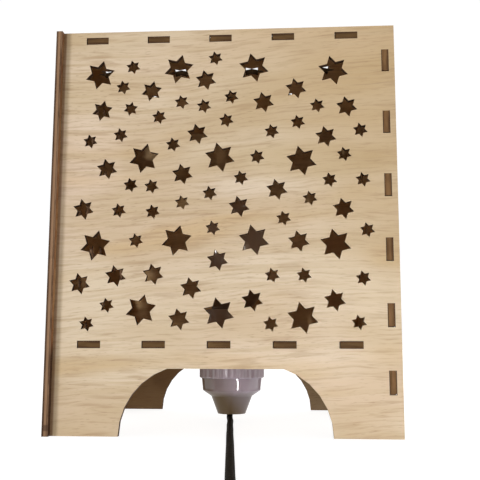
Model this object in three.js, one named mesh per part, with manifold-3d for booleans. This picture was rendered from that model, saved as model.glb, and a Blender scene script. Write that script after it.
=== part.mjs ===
// A star lantern: a table lamp whose laser-cut plywood panels lock together with tabs and slots.
// A lampholder hangs through its floor plate, and its cord leaves through the front arch to a
// rocker switch, a stored coil and a two-pin plug.
// Millimetres, +Z up. The front faces -Y. The origin is on the lamp's axis, level with its feet.

import * as THREE from "three";
import { mergeVertices } from "three/addons/utils/BufferGeometryUtils.js";
import Module from "manifold-3d";

const wasm = await Module();
wasm.setup();

// Clearances
const fitGap = 0.3; // between pieces that touch or fit
const cutOverrun = 2; // how far a cutter runs past the faces that it cuts

// Plywood box
const boxWidth = 200; // outer face to outer face, both ways
const boxHeight = 241;
const ply = 3.7;
const overhang = 3.7; // each panel's free edge past the neighbour that slots into it
const floorHeight = 49.9; // feet to the underside of the floor plate
const topPlateDrop = 3.6; // panels' top edge to the upper face of the top plate

// Tabs and their slots
const tabLength = 13;
const tabsAcross = 5;
const tabsUp = 6;
const tabInset = 24.6; // outer face of the box to the middle of a plate's first tab
const lowestTab = 30.8; // feet to the middle of the lowest side tab
const highestTabDrop = 21.7; // top edge to the middle of the highest side tab

// Arches that leave the panels standing on corner legs
const archWidth = 122;
const archHeight = 38.1;
const archCurve = 40.1; // radius of the legs' inner sides
const archSteps = 6;

// Star holes: regular six-pointed stars
const bigStar = 9.2; // centre to tip
const mediumStar = 6.45;
const smallStar = 4.5;
const topStar = 8.1;
const starPoints = 6;
const starLean = THREE.MathUtils.degToRad(13);
const topStarLean = THREE.MathUtils.degToRad(32);
const valleyShare = 1 / Math.sqrt(3); // valley radius over tip radius

// Star places on a side panel, across and up the field between its neighbours and plates
const bigRightShares = [[0.12, 0.89], [0.37, 0.905], [0.265, 0.6], [0.12, 0.31], [0.37, 0.325], [0.265, 0.1]];
const bigLeftShares = [
  [0.605, 0.905], [0.85, 0.89], [0.5, 0.6], [0.75, 0.585],
  [0.605, 0.325], [0.85, 0.31], [0.5, 0.09], [0.75, 0.075],
];
const mediumRightShares = [[0.285, 0.83], [0.13, 0.765]];
const mediumLeftShares = [
  [0.455, 0.865], [0.735, 0.83], [0.635, 0.785], [0.89, 0.765], [0.43, 0.68], [0.825, 0.665], [0.15, 0.565],
  [0.385, 0.545], [0.675, 0.49], [0.08, 0.43], [0.56, 0.435], [0.875, 0.425], [0.74, 0.32], [0.185, 0.21],
  [0.3, 0.215], [0.495, 0.26], [0.075, 0.185], [0.415, 0.17], [0.6, 0.13], [0.845, 0.13], [0.38, 0.07],
];
const smallRightShares = [[0.22, 0.77]];
const smallLeftShares = [
  [0.485, 0.94], [0.225, 0.915], [0.195, 0.845], [0.535, 0.805], [0.31, 0.74], [0.38, 0.79], [0.45, 0.775],
  [0.8, 0.77], [0.19, 0.68], [0.52, 0.725], [0.66, 0.685], [0.74, 0.715], [0.93, 0.685], [0.095, 0.66],
  [0.355, 0.645], [0.88, 0.605], [0.615, 0.6], [0.225, 0.51], [0.29, 0.505], [0.47, 0.48], [0.565, 0.53],
  [0.835, 0.52], [0.935, 0.52], [0.19, 0.425], [0.295, 0.42], [0.385, 0.45], [0.775, 0.46], [0.48, 0.365],
  [0.695, 0.395], [0.945, 0.355], [0.245, 0.325], [0.66, 0.21], [0.755, 0.21], [0.93, 0.2], [0.16, 0.115],
  [0.1, 0.055], [0.655, 0.055], [0.915, 0.06],
];

// Star places on the top plate, across and back
const topBigShares = [
  [0.085, 0.25], [0.335, 0.25], [0.585, 0.25], [0.83, 0.25], [0.21, 0.52], [0.46, 0.52], [0.705, 0.52],
  [0.085, 0.79], [0.335, 0.79], [0.585, 0.79], [0.83, 0.79],
];

// Lampholder: a mantle that hangs in the floor plate, and a cap under it with a hollow nose
const mantleRibs = 24;
const mantleRadius = 22.4; // over the ribs
const ribDepth = 0.8;
const mantleBottom = 29.9; // above the feet
const sleeveRadius = 19.8;
const sleeveRise = 26.4; // above the floor plate's underside
const mantleBore = 18.2;
const ringRibs = 24;
const ringRadius = 27.5;
const ringHeight = 8;
const capWall = 1.6;
const capRimRadius = 20.9;
const capWaistRadius = 19.6; // where the shoulder starts
const capWaistHeight = 21.5;
const capShoulderRadius = 14.1; // where the nose starts
const capShoulderHeight = 17.1;
const noseRadius = 9.5;
const noseHeight = 4.8; // feet to the nose's mouth
const gripThickness = 3.6;
const insertFloor = 33; // underside of the contact insert
const insertFloorThickness = 8;
const insertWall = 3.6;
const insertRise = 39; // underside to rim
const shellWall = 0.5;
const shellRise = 28.7;
const shellLip = 5; // width of the rim that turns in at the shell's bottom
const tongueThickness = 0.5;
const tongueWidth = 4;
const tongueReach = 7.5; // fixed end to the holder's axis
const tongueTip = 3; // how far it runs past the axis
const tongueRise = 4.6;
const tongueRampStart = 4;
const tongueRampEnd = 1;
const terminalWidth = 7;
const terminalDepth = 6;
const terminalHeight = 5.7;
const terminalPlace = 8.5; // axis to a terminal's middle
const terminalScrewRadius = 1.2;
const terminalScrewHead = 2.2;
const terminalHeadHeight = 0.8;
const terminalScrewDepth = 4;
const wireRadius = 0.9;
const wireStart = 2.2; // axis to a wire where it leaves the cord grip
const holderSides = 24;

// Bulb: a screw cap, a plastic housing and a smoked globe
const bulbScrewRadius = 13;
const bulbScrewHeight = 21.7;
const bulbScrewWall = 0.6;
const bulbTipRadius = 4.6;
const bulbTipHeight = 2.2;
const insulatorRadius = 10.8;
const insulatorNeck = 5.5;
const insulatorHeight = 2.7;
const insulatorEdge = 0.7;
const housingRise = 18.3;
const housingFoot = 12.8;
const housingNeck = 14;
const housingNeckRise = 2.8;
const housingFlare = 19;
const housingFlareRise = 8.3;
const housingRim = 24.5;
const housingWall = 1.2;
const boardWidth = 16;
const boardThickness = 1.2;
const boardRise = 35;
const ledBoardRadius = 20;
const globeRadius = 30;
const globeWall = 1.2;
const globeCentre = 35; // housing rim to the globe's middle
const globeTopSteps = 6;
const globeSides = 20;

// Cord
const cordDiameter = 4.1;
const cordSides = 8;
const leadSteps = 48;
const linkSteps = 18;
const tailSteps = 14;
const wireSides = 6;
const wireSteps = 3;

// Cord routes, as chosen points
const leadRoute = [
  [0, 0, 21.1], [0, 0, 18], [-0.4, 0, 14.6], [-0.8, 0, 11.2], [-1.1, -0.7, 7.8], [-1.1, -2.7, 4.9],
  [-0.9, -5.7, 2.9], [-0.5, -9.2, 2.2], [0.3, -16, 2.1], [1.4, -30, 2.1], [2.6, -48, 2.1],
  [4.8, -75, 2.1], [6.9, -103, 2.1], [10.5, -147, 2.1], [13.3, -183, 2.1], [15.7, -213, 2.1],
  [18.6, -249, 2.1], [20.5, -268, 2.1], [23.2, -287, 2.1], [26.7, -304, 2.5], [29.2, -320, 4.4],
  [30, -332, 6.1], [30, -340, 6.5],
];
const linkRoute = [
  [30, -439.2, 6.5], [30, -443, 6.4], [29.4, -449, 5.4], [26.8, -456.5, 3.6], [21.2, -462, 2.4],
  [14.5, -464, 2.1], [8, -462.2, 2.1], [2.5, -457, 2.1], [-0.4, -449.5, 2.1], [-0.9, -440, 2.2],
  [-0.9, -427, 2.6], [-0.9, -415, 3], [-0.9, -404.4, 3.1],
];
const tailRoute = [
  [-38.4, -366.9, 7.8], [-44, -366.7, 7.8], [-52, -365.6, 6.8], [-60, -363.6, 4.6], [-68, -361.8, 2.7],
  [-76, -362, 2.3], [-83, -364.8, 3.2], [-87.7, -370, 5], [-89.7, -376.5, 6.6], [-90, -383, 6.9],
];

// Stored coil: it spirals in on the lower layer and out again on the upper one
const coilMiddle = [-34, -400];
const coilOuterRadius = 33.1; // to the cord's middle
const coilTurns = 8.25;
const coilPitch = 4.7; // from turn to turn, and from layer to layer
const coilHeight = 3.1; // surface to the lower layer's middle
const coilSteps = 18; // in a turn
const coilSides = 6;
const tieThickness = 0.7;
const tieWidth = 9;
const tieCorner = 2;
const tieCornerSteps = 2;
const tieAngle = THREE.MathUtils.degToRad(225);

// Switch on the cord
const switchMiddle = [30, -389.6];
const switchLength = 58;
const switchWidth = 24;
const switchCorner = 8;
const switchCornerSteps = 4;
const switchWall = 1.6;
const switchFloor = 1.8;
const baseHeight = 10.4;
const coverHeight = 6.5;
const entryHeight = 6.5; // surface to the cord's middle at the switch
const neckRadius = 2.7;
const windowLength = 15;
const windowWidth = 10.6;
const rockerLength = 12.6;
const rockerWidth = 9.4;
const rockerPivot = 11.6; // surface to the pin's middle
const rockerHub = 2.6;
const rockerHubFoot = 1.6;
const rockerHubDrop = 2;
const rockerSkirt = 1.8; // pin's middle to the rocker's lower edge
const rockerEnd = 5.8; // pin's middle to the top of its ends
const rockerDip = 5; // pin's middle to the top of its middle
const rockerTilt = THREE.MathUtils.degToRad(8); // to each side of level
const pinRadius = 1;
const earThickness = 1.8;
const earLength = 6;
const earRise = 2; // above the pin's middle
const earGap = 0.7; // between an ear and the rocker
const screwAcross = 8;
const screwAlong = 19;
const screwRadius = 1.1;
const screwHead = 2.2;
const screwHeadHeight = 1.2;
const screwRecess = 1.5;
const screwBoss = 3;
const screwReach = 12.6; // surface to the screw's tip
const contactAlong = 17;
const contactLength = 6;
const contactWidth = 8;
const contactHeight = 6;
const leafWidth = 5;
const leafThickness = 0.5;
const leafHeight = 4.2;
const smallSides = 10;

// Strain reliefs
const switchReliefLength = 20;
const plugReliefLength = 25;
const reliefRoot = 4.3;
const reliefTip = 2.6;
const reliefSides = 12;

// Plug
const plugMiddle = [-90, -426.6];
const plugLength = 36;
const plugWidth = 35;
const plugThickness = 13.8;
const plugBevel = 1.5;
const plugShoulderShare = 0.25; // of its length, from the pins
const plugNeckShare = 0.3; // of its width, at the cord
const plugWaistShares = [0.78, 0.5]; // of its width and of its length
const plugPinRadius = 2;
const plugPinLength = 19;
const plugPinSpacing = 18.6;
const plugPinSeat = 6;
const plugPinTip = 1;

// Derived sizes of the box
const outer = boxWidth / 2;
const inner = outer - ply;
const floorTop = floorHeight + ply;
const topPlateBottom = boxHeight - topPlateDrop - ply;
const panelLeft = -inner + fitGap;
const panelRight = outer + overhang;
const slotWidth = ply + 2 * fitGap;
const slotLength = tabLength + 2 * fitGap;
const acrossPlaces = spread(-outer + tabInset, outer - tabInset, tabsAcross);
const upPlaces = spread(lowestTab, boxHeight - highestTabDrop, tabsUp);

// Materials
const plywood = { color: 0xd6bb92, roughness: 0.75, metalness: 0 };
const whitePlastic = { color: 0xb9b0b4, roughness: 0.35, metalness: 0 };
const innerPlastic = { color: 0xe4e0d8, roughness: 0.5, metalness: 0 };
const brass = { color: 0xc9a24a, roughness: 0.35, metalness: 1 };
const nickel = { color: 0xc8c8c4, roughness: 0.3, metalness: 1 };
const housingBrown = { color: 0x4b392b, roughness: 0.45, metalness: 0 };
const smokedGlass = { color: 0x4a3526, roughness: 0.2, metalness: 0 };
const blackGlass = { color: 0x17161a, roughness: 0.2, metalness: 0 };
const board = { color: 0xdfe6e0, roughness: 0.5, metalness: 0 };
const copperWire = { color: 0x8a5a3a, roughness: 0.6, metalness: 0 };
const cordBlack = { color: 0x1b1817, roughness: 0.6, metalness: 0 };
const switchBlack = { color: 0x201d1c, roughness: 0.4, metalness: 0 };
const rockerGrey = { color: 0x3a3735, roughness: 0.35, metalness: 0 };
const steel = { color: 0xa9aaac, roughness: 0.35, metalness: 1 };
const strap = { color: 0x24211f, roughness: 0.9, metalness: 0 };

// Evenly spread values
function spread(first, last, count) {
  return Array.from({ length: count }, (_, i) => first + ((last - first) * i) / (count - 1));
}

// Outlines are lists of [x, y] points
function circle(radius, sides, x = 0, y = 0) {
  return Array.from({ length: sides }, (_, i) => {
    const angle = (2 * Math.PI * i) / sides;
    return [x + radius * Math.cos(angle), y + radius * Math.sin(angle)];
  });
}

function arc(x, y, radius, from, to, steps) {
  return spread(from, to, steps + 1)
    .map((angle) => [x + radius * Math.cos(angle), y + radius * Math.sin(angle)]);
}

function ribbed(radius, depth, ribs) {
  return circle(radius, 2 * ribs).map(([x, y], i) => {
    const share = i % 2 === 0 ? 1 : 1 - depth / radius;
    return [x * share, y * share];
  });
}

function roundedRectangle(width, length, corner, steps) {
  const [x, y] = [width / 2 - corner, length / 2 - corner];
  const quarter = Math.PI / 2;
  return [
    ...arc(x, y, corner, 0, quarter, steps),
    ...arc(-x, y, corner, quarter, 2 * quarter, steps),
    ...arc(-x, -y, corner, 2 * quarter, 3 * quarter, steps),
    ...arc(x, -y, corner, 3 * quarter, 4 * quarter, steps),
  ];
}

// Solids
function prism(outline, depth, hole) {
  const shape = new THREE.Shape(outline.map(([x, y]) => new THREE.Vector2(x, y)));
  if (hole) shape.holes.push(new THREE.Path(hole.map(([x, y]) => new THREE.Vector2(x, y))));
  return new THREE.ExtrudeGeometry(shape, { depth, bevelEnabled: false });
}

function box(width, length, height, x, y, z) {
  return new THREE.BoxGeometry(width, length, height).translate(x, y, z + height / 2);
}

function turned(profile, sides) {
  const points = profile.map(([radius, height]) => new THREE.Vector2(radius, height));
  return new THREE.LatheGeometry(points, sides).rotateX(Math.PI / 2);
}

function ring(profile, sides) {
  return turned([...profile, profile[0]], sides);
}

function tube(points, radius, sides, steps) {
  const places = points.map((point) => new THREE.Vector3(...point));
  const curve = new THREE.CatmullRomCurve3(places, false, "centripetal");
  const shape = new THREE.Shape(circle(radius, sides).map(([x, y]) => new THREE.Vector2(x, y)));
  return new THREE.ExtrudeGeometry(shape, { steps, extrudePath: curve });
}

// Joining and cutting
function solid(geometry) {
  const bare = geometry.clone();
  for (const name of Object.keys(bare.attributes)) {
    if (name !== "position") bare.deleteAttribute(name);
  }
  const merged = mergeVertices(bare, 1e-4);
  const position = merged.attributes.position;
  const index = merged.index.array;
  const corners = [];
  for (let i = 0; i < index.length; i += 3) {
    const [a, b, c] = [index[i], index[i + 1], index[i + 2]];
    if (a !== b && b !== c && c !== a) corners.push(a, b, c);
  }
  const mesh = new wasm.Mesh({
    numProp: 3,
    vertProperties: Float32Array.from(position.array),
    triVerts: Uint32Array.from(corners),
  });
  return new wasm.Manifold(mesh);
}

function shaped(first, { join = [], cut = [] }) {
  const joined = join.reduce((made, geometry) => made.add(solid(geometry)), solid(first));
  const made = cut.reduce((left, geometry) => left.subtract(solid(geometry)), joined);
  const mesh = made.getMesh();
  const geometry = new THREE.BufferGeometry();
  geometry.setAttribute("position", new THREE.BufferAttribute(mesh.vertProperties, mesh.numProp));
  geometry.setIndex(new THREE.BufferAttribute(mesh.triVerts, 1));
  return geometry;
}

// The object
const lamp = new THREE.Group();

function add(name, geometry, look, parent = lamp) {
  const mesh = new THREE.Mesh(geometry, new THREE.MeshStandardMaterial(look));
  mesh.name = name;
  parent.add(mesh);
  return mesh;
}

// Star cutters, as prisms along +Z through a plate whose lower face is at height zero
function star(radius, lean, x, y) {
  const outline = circle(radius, 2 * starPoints).map(([px, py], i) => {
    const share = i % 2 === 0 ? 1 : valleyShare;
    return new THREE.Vector2(px * share, py * share).rotateAround(new THREE.Vector2(), Math.PI / 2 + lean);
  });
  const points = outline.map((point) => [x + point.x, y + point.y]);
  return prism(points, ply + 2 * cutOverrun).translate(0, 0, -cutOverrun);
}

function stars(placeShares, radius, lean, field) {
  return placeShares.map(([across, up]) =>
    star(radius, lean, field.left + across * field.width, field.bottom + up * field.height));
}

const panelField = {
  left: -inner,
  width: 2 * inner,
  bottom: floorTop,
  height: topPlateBottom - floorTop,
};
const topField = { left: -inner, width: 2 * inner, bottom: -inner, height: 2 * inner };

const bigStars = [
  ...stars(bigRightShares, bigStar, -starLean, panelField),
  ...stars(bigLeftShares, bigStar, starLean, panelField),
];
const largerStars = [
  ...bigStars,
  ...stars(mediumRightShares, mediumStar, -starLean, panelField),
  ...stars(mediumLeftShares, mediumStar, starLean, panelField),
];
const allStars = [
  ...largerStars,
  ...stars(smallRightShares, smallStar, -starLean, panelField),
  ...stars(smallLeftShares, smallStar, starLean, panelField),
];

// A side panel lies in the XY plane here, across and up, with its outer face at height ply
function archOutline() {
  const middle = (panelLeft + panelRight) / 2;
  const turn = Math.asin(Math.min(1, archHeight / archCurve));
  const centre = archWidth / 2 - archCurve;
  return [
    ...arc(middle - centre, 0, archCurve, Math.PI, Math.PI - turn, archSteps),
    ...arc(middle + centre, 0, archCurve, turn, 0, archSteps),
  ];
}

function panelOutline() {
  const tabs = [...upPlaces].reverse().flatMap((place) => [
    [panelLeft, place + tabLength / 2],
    [-outer, place + tabLength / 2],
    [-outer, place - tabLength / 2],
    [panelLeft, place - tabLength / 2],
  ]);
  const leftSide = [[panelLeft, boxHeight], ...tabs, [panelLeft, 0]];
  return [...leftSide, ...archOutline(), [panelRight, 0], [panelRight, boxHeight]];
}

function slot(width, length, x, y) {
  return box(width, length, ply + 2 * cutOverrun, x, y, -cutOverrun);
}

function panelSlots() {
  const column = upPlaces.map((place) => slot(slotWidth, slotLength, outer - ply / 2, place));
  const rows = [floorHeight + ply / 2, topPlateBottom + ply / 2].flatMap((height) =>
    acrossPlaces.map((place) => slot(slotLength, slotWidth, place, height)));
  return [...column, ...rows];
}

function addPanel(name, quarterTurns, starCutters) {
  const side = new THREE.Group();
  side.rotation.z = (quarterTurns * Math.PI) / 2;
  const geometry = shaped(prism(panelOutline(), ply), { cut: [...panelSlots(), ...starCutters] });
  const panel = add(name, geometry, plywood, side);
  panel.rotation.x = Math.PI / 2;
  panel.position.y = -inner;
  lamp.add(side);
}

addPanel("front_panel", 0, allStars);
addPanel("right_panel", 1, largerStars);
addPanel("back_panel", 2, []);
addPanel("left_panel", 3, largerStars);

// The floor and top plates have a row of tabs on each side
function plateOutline() {
  const edge = inner - fitGap;
  const side = [
    [-edge, -edge],
    ...acrossPlaces.flatMap((place) => [
      [place - tabLength / 2, -edge],
      [place - tabLength / 2, -outer],
      [place + tabLength / 2, -outer],
      [place + tabLength / 2, -edge],
    ]),
  ];
  const turnedSide = (quarter) => side.map(([x, y]) => {
    const point = new THREE.Vector2(x, y).rotateAround(new THREE.Vector2(), (quarter * Math.PI) / 2);
    return [point.x, point.y];
  });
  return [0, 1, 2, 3].flatMap(turnedSide);
}

const topStars = stars(topBigShares, topStar, topStarLean, topField);
add("top_plate", shaped(prism(plateOutline(), ply), { cut: topStars }), plywood).position.z = topPlateBottom;

const holderHole = circle(sleeveRadius + fitGap, holderSides);
add("floor_plate", prism(plateOutline(), ply, holderHole), plywood).position.z = floorHeight;

// Lampholder
const mantleTop = floorHeight - fitGap;
const sleeveTop = floorHeight + sleeveRise;
const mantleSkirt = prism(ribbed(mantleRadius, ribDepth, mantleRibs), mantleTop - mantleBottom);
const mantleSleeve = prism(circle(sleeveRadius, holderSides), sleeveTop - mantleBottom);
const mantleCut = prism(circle(mantleBore, holderSides), sleeveTop - mantleBottom + 2 * cutOverrun);
const mantle = shaped(mantleSkirt, { join: [mantleSleeve], cut: [mantleCut.translate(0, 0, -cutOverrun)] });
add("holder_mantle", mantle, whitePlastic).position.z = mantleBottom;

const ringNut = prism(ribbed(ringRadius, ribDepth, ringRibs), ringHeight, holderHole);
add("holder_ring_nut", ringNut, whitePlastic).position.z = floorTop + fitGap;

const capRimHeight = mantleBottom - fitGap;
add("holder_cap", ring([
  [noseRadius - capWall, noseHeight],
  [noseRadius, noseHeight],
  [capShoulderRadius - capWall / 3, capShoulderHeight - capWall / 3],
  [capShoulderRadius, capShoulderHeight],
  [
    (capShoulderRadius + capWaistRadius) / 2 + capWall / 2,
    (capShoulderHeight + capWaistHeight) / 2 - capWall / 3,
  ],
  [capWaistRadius, capWaistHeight],
  [capRimRadius, capRimHeight],
  [capRimRadius - capWall, capRimHeight],
  [capWaistRadius - capWall, capWaistHeight],
  [capShoulderRadius - capWall, capShoulderHeight + capWall / 2],
], holderSides), whitePlastic);

const gripHeight = capWaistHeight + fitGap / 2;
const gripRadius = capWaistRadius - capWall - fitGap;
add("cord_grip", prism(circle(gripRadius, holderSides), gripThickness), innerPlastic).position.z = gripHeight;

const insertRadius = mantleBore - fitGap;
const insertSeat = insertFloor + insertFloorThickness;
add("contact_insert", turned([
  [0, insertFloor],
  [insertRadius, insertFloor],
  [insertRadius, insertFloor + insertRise],
  [insertRadius - insertWall, insertFloor + insertRise],
  [insertRadius - insertWall, insertSeat],
  [0, insertSeat],
], holderSides), innerPlastic);

const shellRadius = insertRadius - insertWall - fitGap;
const shellBottom = insertSeat + fitGap;
add("screw_shell", ring([
  [shellRadius - shellLip, shellBottom],
  [shellRadius, shellBottom],
  [shellRadius, shellBottom + shellRise],
  [shellRadius - shellWall, shellBottom + shellRise],
  [shellRadius - shellWall, shellBottom + shellWall],
  [shellRadius - shellLip, shellBottom + shellWall],
], holderSides), brass);

const tongue = prism([
  [-tongueReach, 0],
  [-tongueRampStart, 0],
  [-tongueRampEnd, tongueRise - tongueThickness],
  [tongueTip, tongueRise - tongueThickness],
  [tongueTip, tongueRise],
  [-tongueRampEnd - tongueThickness, tongueRise],
  [-tongueRampStart - tongueThickness, tongueThickness],
  [-tongueReach, tongueThickness],
], tongueWidth);
const contactTongue = add("centre_contact", tongue, brass);
contactTongue.rotation.x = Math.PI / 2;
contactTongue.position.set(0, tongueWidth / 2, shellBottom);

const terminalTop = insertFloor - fitGap;
const terminalBottom = terminalTop - terminalHeight;
const screwHeadBottom = terminalBottom - fitGap - terminalHeadHeight;
const wireBottom = gripHeight + gripThickness + fitGap;
const wireTop = terminalBottom + terminalHeight / 2;
const wireEnd = terminalPlace - terminalWidth / 2 - fitGap;

// Each conductor has a terminal block, its screw and the stripped wire that runs up to it
function addConductor(name, way) {
  const block = box(terminalWidth, terminalDepth, terminalHeight, way * terminalPlace, 0, terminalBottom);
  const hole = prism(circle(terminalScrewRadius + fitGap, smallSides), terminalScrewDepth + cutOverrun)
    .translate(way * terminalPlace, 0, terminalBottom - cutOverrun + fitGap);
  add(`${name}_terminal`, shaped(block, { cut: [hole] }), brass);
  const screw = add(`${name}_terminal_screw`, turned([
    [0, 0],
    [terminalScrewHead, 0],
    [terminalScrewHead, terminalHeadHeight],
    [terminalScrewRadius, terminalHeadHeight],
    [terminalScrewRadius, terminalScrewDepth],
    [0, terminalScrewDepth],
  ], smallSides), steel);
  screw.position.set(way * terminalPlace, 0, screwHeadBottom);
  add(`${name}_wire`, tube([
    [way * wireStart, 0, wireBottom],
    [way * wireStart, 0, (wireBottom + wireTop) / 2],
    [way * (wireStart + wireRadius), 0, wireTop - wireRadius / 2],
    [way * wireEnd, 0, wireTop],
  ], wireRadius, wireSides, wireSteps), copperWire);
}
addConductor("live", 1);
addConductor("neutral", -1);

// Bulb, seated on the centre contact
const bulbTip = shellBottom + tongueRise + fitGap;
const insulatorBottom = bulbTip + bulbTipHeight + fitGap;
const screwCapBottom = insulatorBottom + insulatorHeight + fitGap;
const housingBottom = screwCapBottom + bulbScrewHeight + fitGap;
const housingTop = housingBottom + housingRise;
const globeBottom = housingTop + fitGap;

add("bulb_tip_contact", turned([
  [0, bulbTip],
  [bulbTipRadius / 2, bulbTip + bulbTipHeight / 10],
  [bulbTipRadius, bulbTip + bulbTipHeight / 2],
  [bulbTipRadius, bulbTip + bulbTipHeight],
  [0, bulbTip + bulbTipHeight],
], smallSides), nickel);

add("bulb_insulator", turned([
  [0, insulatorBottom],
  [insulatorNeck, insulatorBottom],
  [insulatorRadius, insulatorBottom + insulatorHeight - insulatorEdge],
  [insulatorRadius, insulatorBottom + insulatorHeight],
  [0, insulatorBottom + insulatorHeight],
], holderSides), blackGlass);

add("bulb_screw_cap", turned([
  [0, screwCapBottom],
  [insulatorRadius, screwCapBottom],
  [bulbScrewRadius, screwCapBottom + bulbScrewRadius - insulatorRadius],
  [bulbScrewRadius, screwCapBottom + bulbScrewHeight],
  [bulbScrewRadius - bulbScrewWall, screwCapBottom + bulbScrewHeight],
  [bulbScrewRadius - bulbScrewWall, screwCapBottom + bulbScrewRadius - insulatorRadius],
  [insulatorRadius - bulbScrewWall, screwCapBottom + bulbScrewWall],
  [0, screwCapBottom + bulbScrewWall],
], holderSides), nickel);

add("bulb_housing", turned([
  [0, housingTop - housingWall],
  [housingRim - 2 * housingWall, housingTop - housingWall],
  [housingFlare - housingWall, housingBottom + housingFlareRise],
  [housingNeck - housingWall, housingBottom + housingNeckRise],
  [housingFoot - housingWall, housingBottom],
  [housingFoot, housingBottom],
  [housingNeck, housingBottom + housingNeckRise],
  [housingFlare, housingBottom + housingFlareRise],
  [housingRim, housingTop],
  [0, housingTop],
], holderSides), housingBrown);

const driverBottom = screwCapBottom + bulbScrewWall + fitGap;
add("bulb_driver_board", box(boardWidth, boardThickness, boardRise, 0, 0, driverBottom), board);
const ledBoard = prism(circle(ledBoardRadius, globeSides), boardThickness);
add("bulb_led_board", ledBoard, board).position.z = globeBottom;

// The globe's profile runs up from its rim to its widest place, then follows a round top
function globeProfile(radius, rim) {
  const centre = housingTop + globeCentre;
  const top = arc(0, centre, radius, 0, Math.PI / 2, globeTopSteps);
  const side = new THREE.QuadraticBezierCurve(
    new THREE.Vector2(rim, globeBottom),
    new THREE.Vector2(radius, (globeBottom + centre) / 2),
    new THREE.Vector2(radius, centre),
  );
  const lower = side.getPoints(3).slice(0, -1).map((point) => [point.x, point.y]);
  return [...lower, ...top.slice(0, -1), [0, centre + radius]];
}

const globeOutside = globeProfile(globeRadius, housingRim);
const globeInside = globeProfile(globeRadius - globeWall, housingRim - globeWall).reverse();
add("bulb_globe", turned([...globeInside, ...globeOutside], globeSides), smokedGlass);

// Cord
const cordRadius = cordDiameter / 2;
add("cord_lead", tube(leadRoute, cordRadius, cordSides, leadSteps), cordBlack);
add("cord_link", tube(linkRoute, cordRadius, cordSides, linkSteps), cordBlack);
add("cord_tail", tube(tailRoute, cordRadius, cordSides, tailSteps), cordBlack);

// The coil's middle line: straight in, spiral in, climb in the half turn about the reversal, spiral out
function coilPoint(turn) {
  const middle = coilTurns / 2;
  const radius = coilOuterRadius - coilPitch * (middle - Math.abs(turn - middle));
  const climb = THREE.MathUtils.smoothstep(turn, middle - 1 / 4, middle + 1 / 4);
  const angle = 2 * Math.PI * turn;
  return new THREE.Vector3(
    coilMiddle[0] + radius * Math.cos(angle),
    coilMiddle[1] + radius * Math.sin(angle),
    coilHeight + coilPitch * climb,
  );
}

function coilLine() {
  const steps = Math.round(coilTurns * coilSteps);
  const turns = spread(0, coilTurns, steps + 1).map(coilPoint);
  const first = turns[0].clone().add(new THREE.Vector3(0, -cordDiameter, 0));
  const last = turns[steps].clone().add(new THREE.Vector3(-cordDiameter, 0, 0));
  return [first, ...turns, last];
}

// A closed tube whose rings stand square to the line, with one corner of each ring kept upward
function ringTube(line, radius, sides) {
  const up = new THREE.Vector3(0, 0, 1);
  const positions = [];
  line.forEach((point, i) => {
    const before = line[Math.max(i - 1, 0)];
    const after = line[Math.min(i + 1, line.length - 1)];
    const along = after.clone().sub(before).normalize();
    const out = new THREE.Vector3().crossVectors(along, up).normalize();
    const over = new THREE.Vector3().crossVectors(out, along);
    for (const [x, y] of circle(radius, sides)) {
      positions.push(...point.clone().addScaledVector(out, x).addScaledVector(over, y).toArray());
    }
  });
  positions.push(...line[0].toArray(), ...line[line.length - 1].toArray());
  const [startCentre, endCentre] = [line.length * sides, line.length * sides + 1];
  const index = [];
  for (let j = 0; j < sides; j += 1) {
    const next = (j + 1) % sides;
    for (let i = 0; i < line.length - 1; i += 1) {
      const [a, b] = [i * sides + j, i * sides + next];
      const [c, d] = [a + sides, b + sides];
      index.push(a, c, b, b, c, d);
    }
    const last = (line.length - 1) * sides;
    index.push(startCentre, j, next, endCentre, last + next, last + j);
  }
  const geometry = new THREE.BufferGeometry();
  geometry.setAttribute("position", new THREE.Float32BufferAttribute(positions, 3));
  geometry.setIndex(index);
  return geometry;
}

function leastSelfGap(line, diameter, stepsApart) {
  let least = Infinity;
  line.forEach((point, i) => {
    for (let j = i + stepsApart; j < line.length; j += 1) least = Math.min(least, point.distanceTo(line[j]));
  });
  return least - diameter;
}

const coil = coilLine();
add("cord_coil", ringTube(coil, cordRadius, coilSides), cordBlack);
const coilGap = leastSelfGap(coil, cordDiameter, coilSteps / 2);
console.log("cord coil, least gap to itself in mm:", coilGap.toFixed(2));

// The tie is a strap round the coil's turns
function addTie() {
  const innermost = coilOuterRadius - (coilPitch * coilTurns) / 2;
  const width = coilOuterRadius - innermost + cordDiameter + 2 * fitGap;
  const height = coilPitch + cordDiameter + 2 * fitGap;
  const outside = roundedRectangle(
    width + 2 * tieThickness, height + 2 * tieThickness, tieCorner + tieThickness, tieCornerSteps);
  const inside = roundedRectangle(width, height, tieCorner, tieCornerSteps);
  const place = new THREE.Group();
  place.position.set(coilMiddle[0], coilMiddle[1], coilHeight + coilPitch / 2);
  place.rotation.z = tieAngle;
  const tie = add("coil_tie", prism(outside, tieWidth, inside).translate(0, 0, -tieWidth / 2), strap, place);
  tie.rotation.x = Math.PI / 2;
  tie.position.x = (coilOuterRadius + innermost) / 2;
  lamp.add(place);
}
addTie();

// Switch, in a group that stands on the surface with its length along Y
const cordSwitch = new THREE.Group();
cordSwitch.position.set(switchMiddle[0], switchMiddle[1], 0);
lamp.add(cordSwitch);

const shellOutline = roundedRectangle(switchWidth, switchLength, switchCorner, switchCornerSteps);
const cavityOutline = roundedRectangle(
  switchWidth - 2 * switchWall, switchLength - 2 * switchWall, switchCorner - switchWall, switchCornerSteps);
const screwPlaces = [[screwAcross, screwAlong], [-screwAcross, -screwAlong]];
const earPlace = rockerWidth / 2 + earGap + earThickness / 2;
const earTop = rockerPivot + earRise;

function upright(radius, [x, y], bottom, top) {
  return prism(circle(radius, smallSides, x, y), top - bottom).translate(0, 0, bottom);
}

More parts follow.
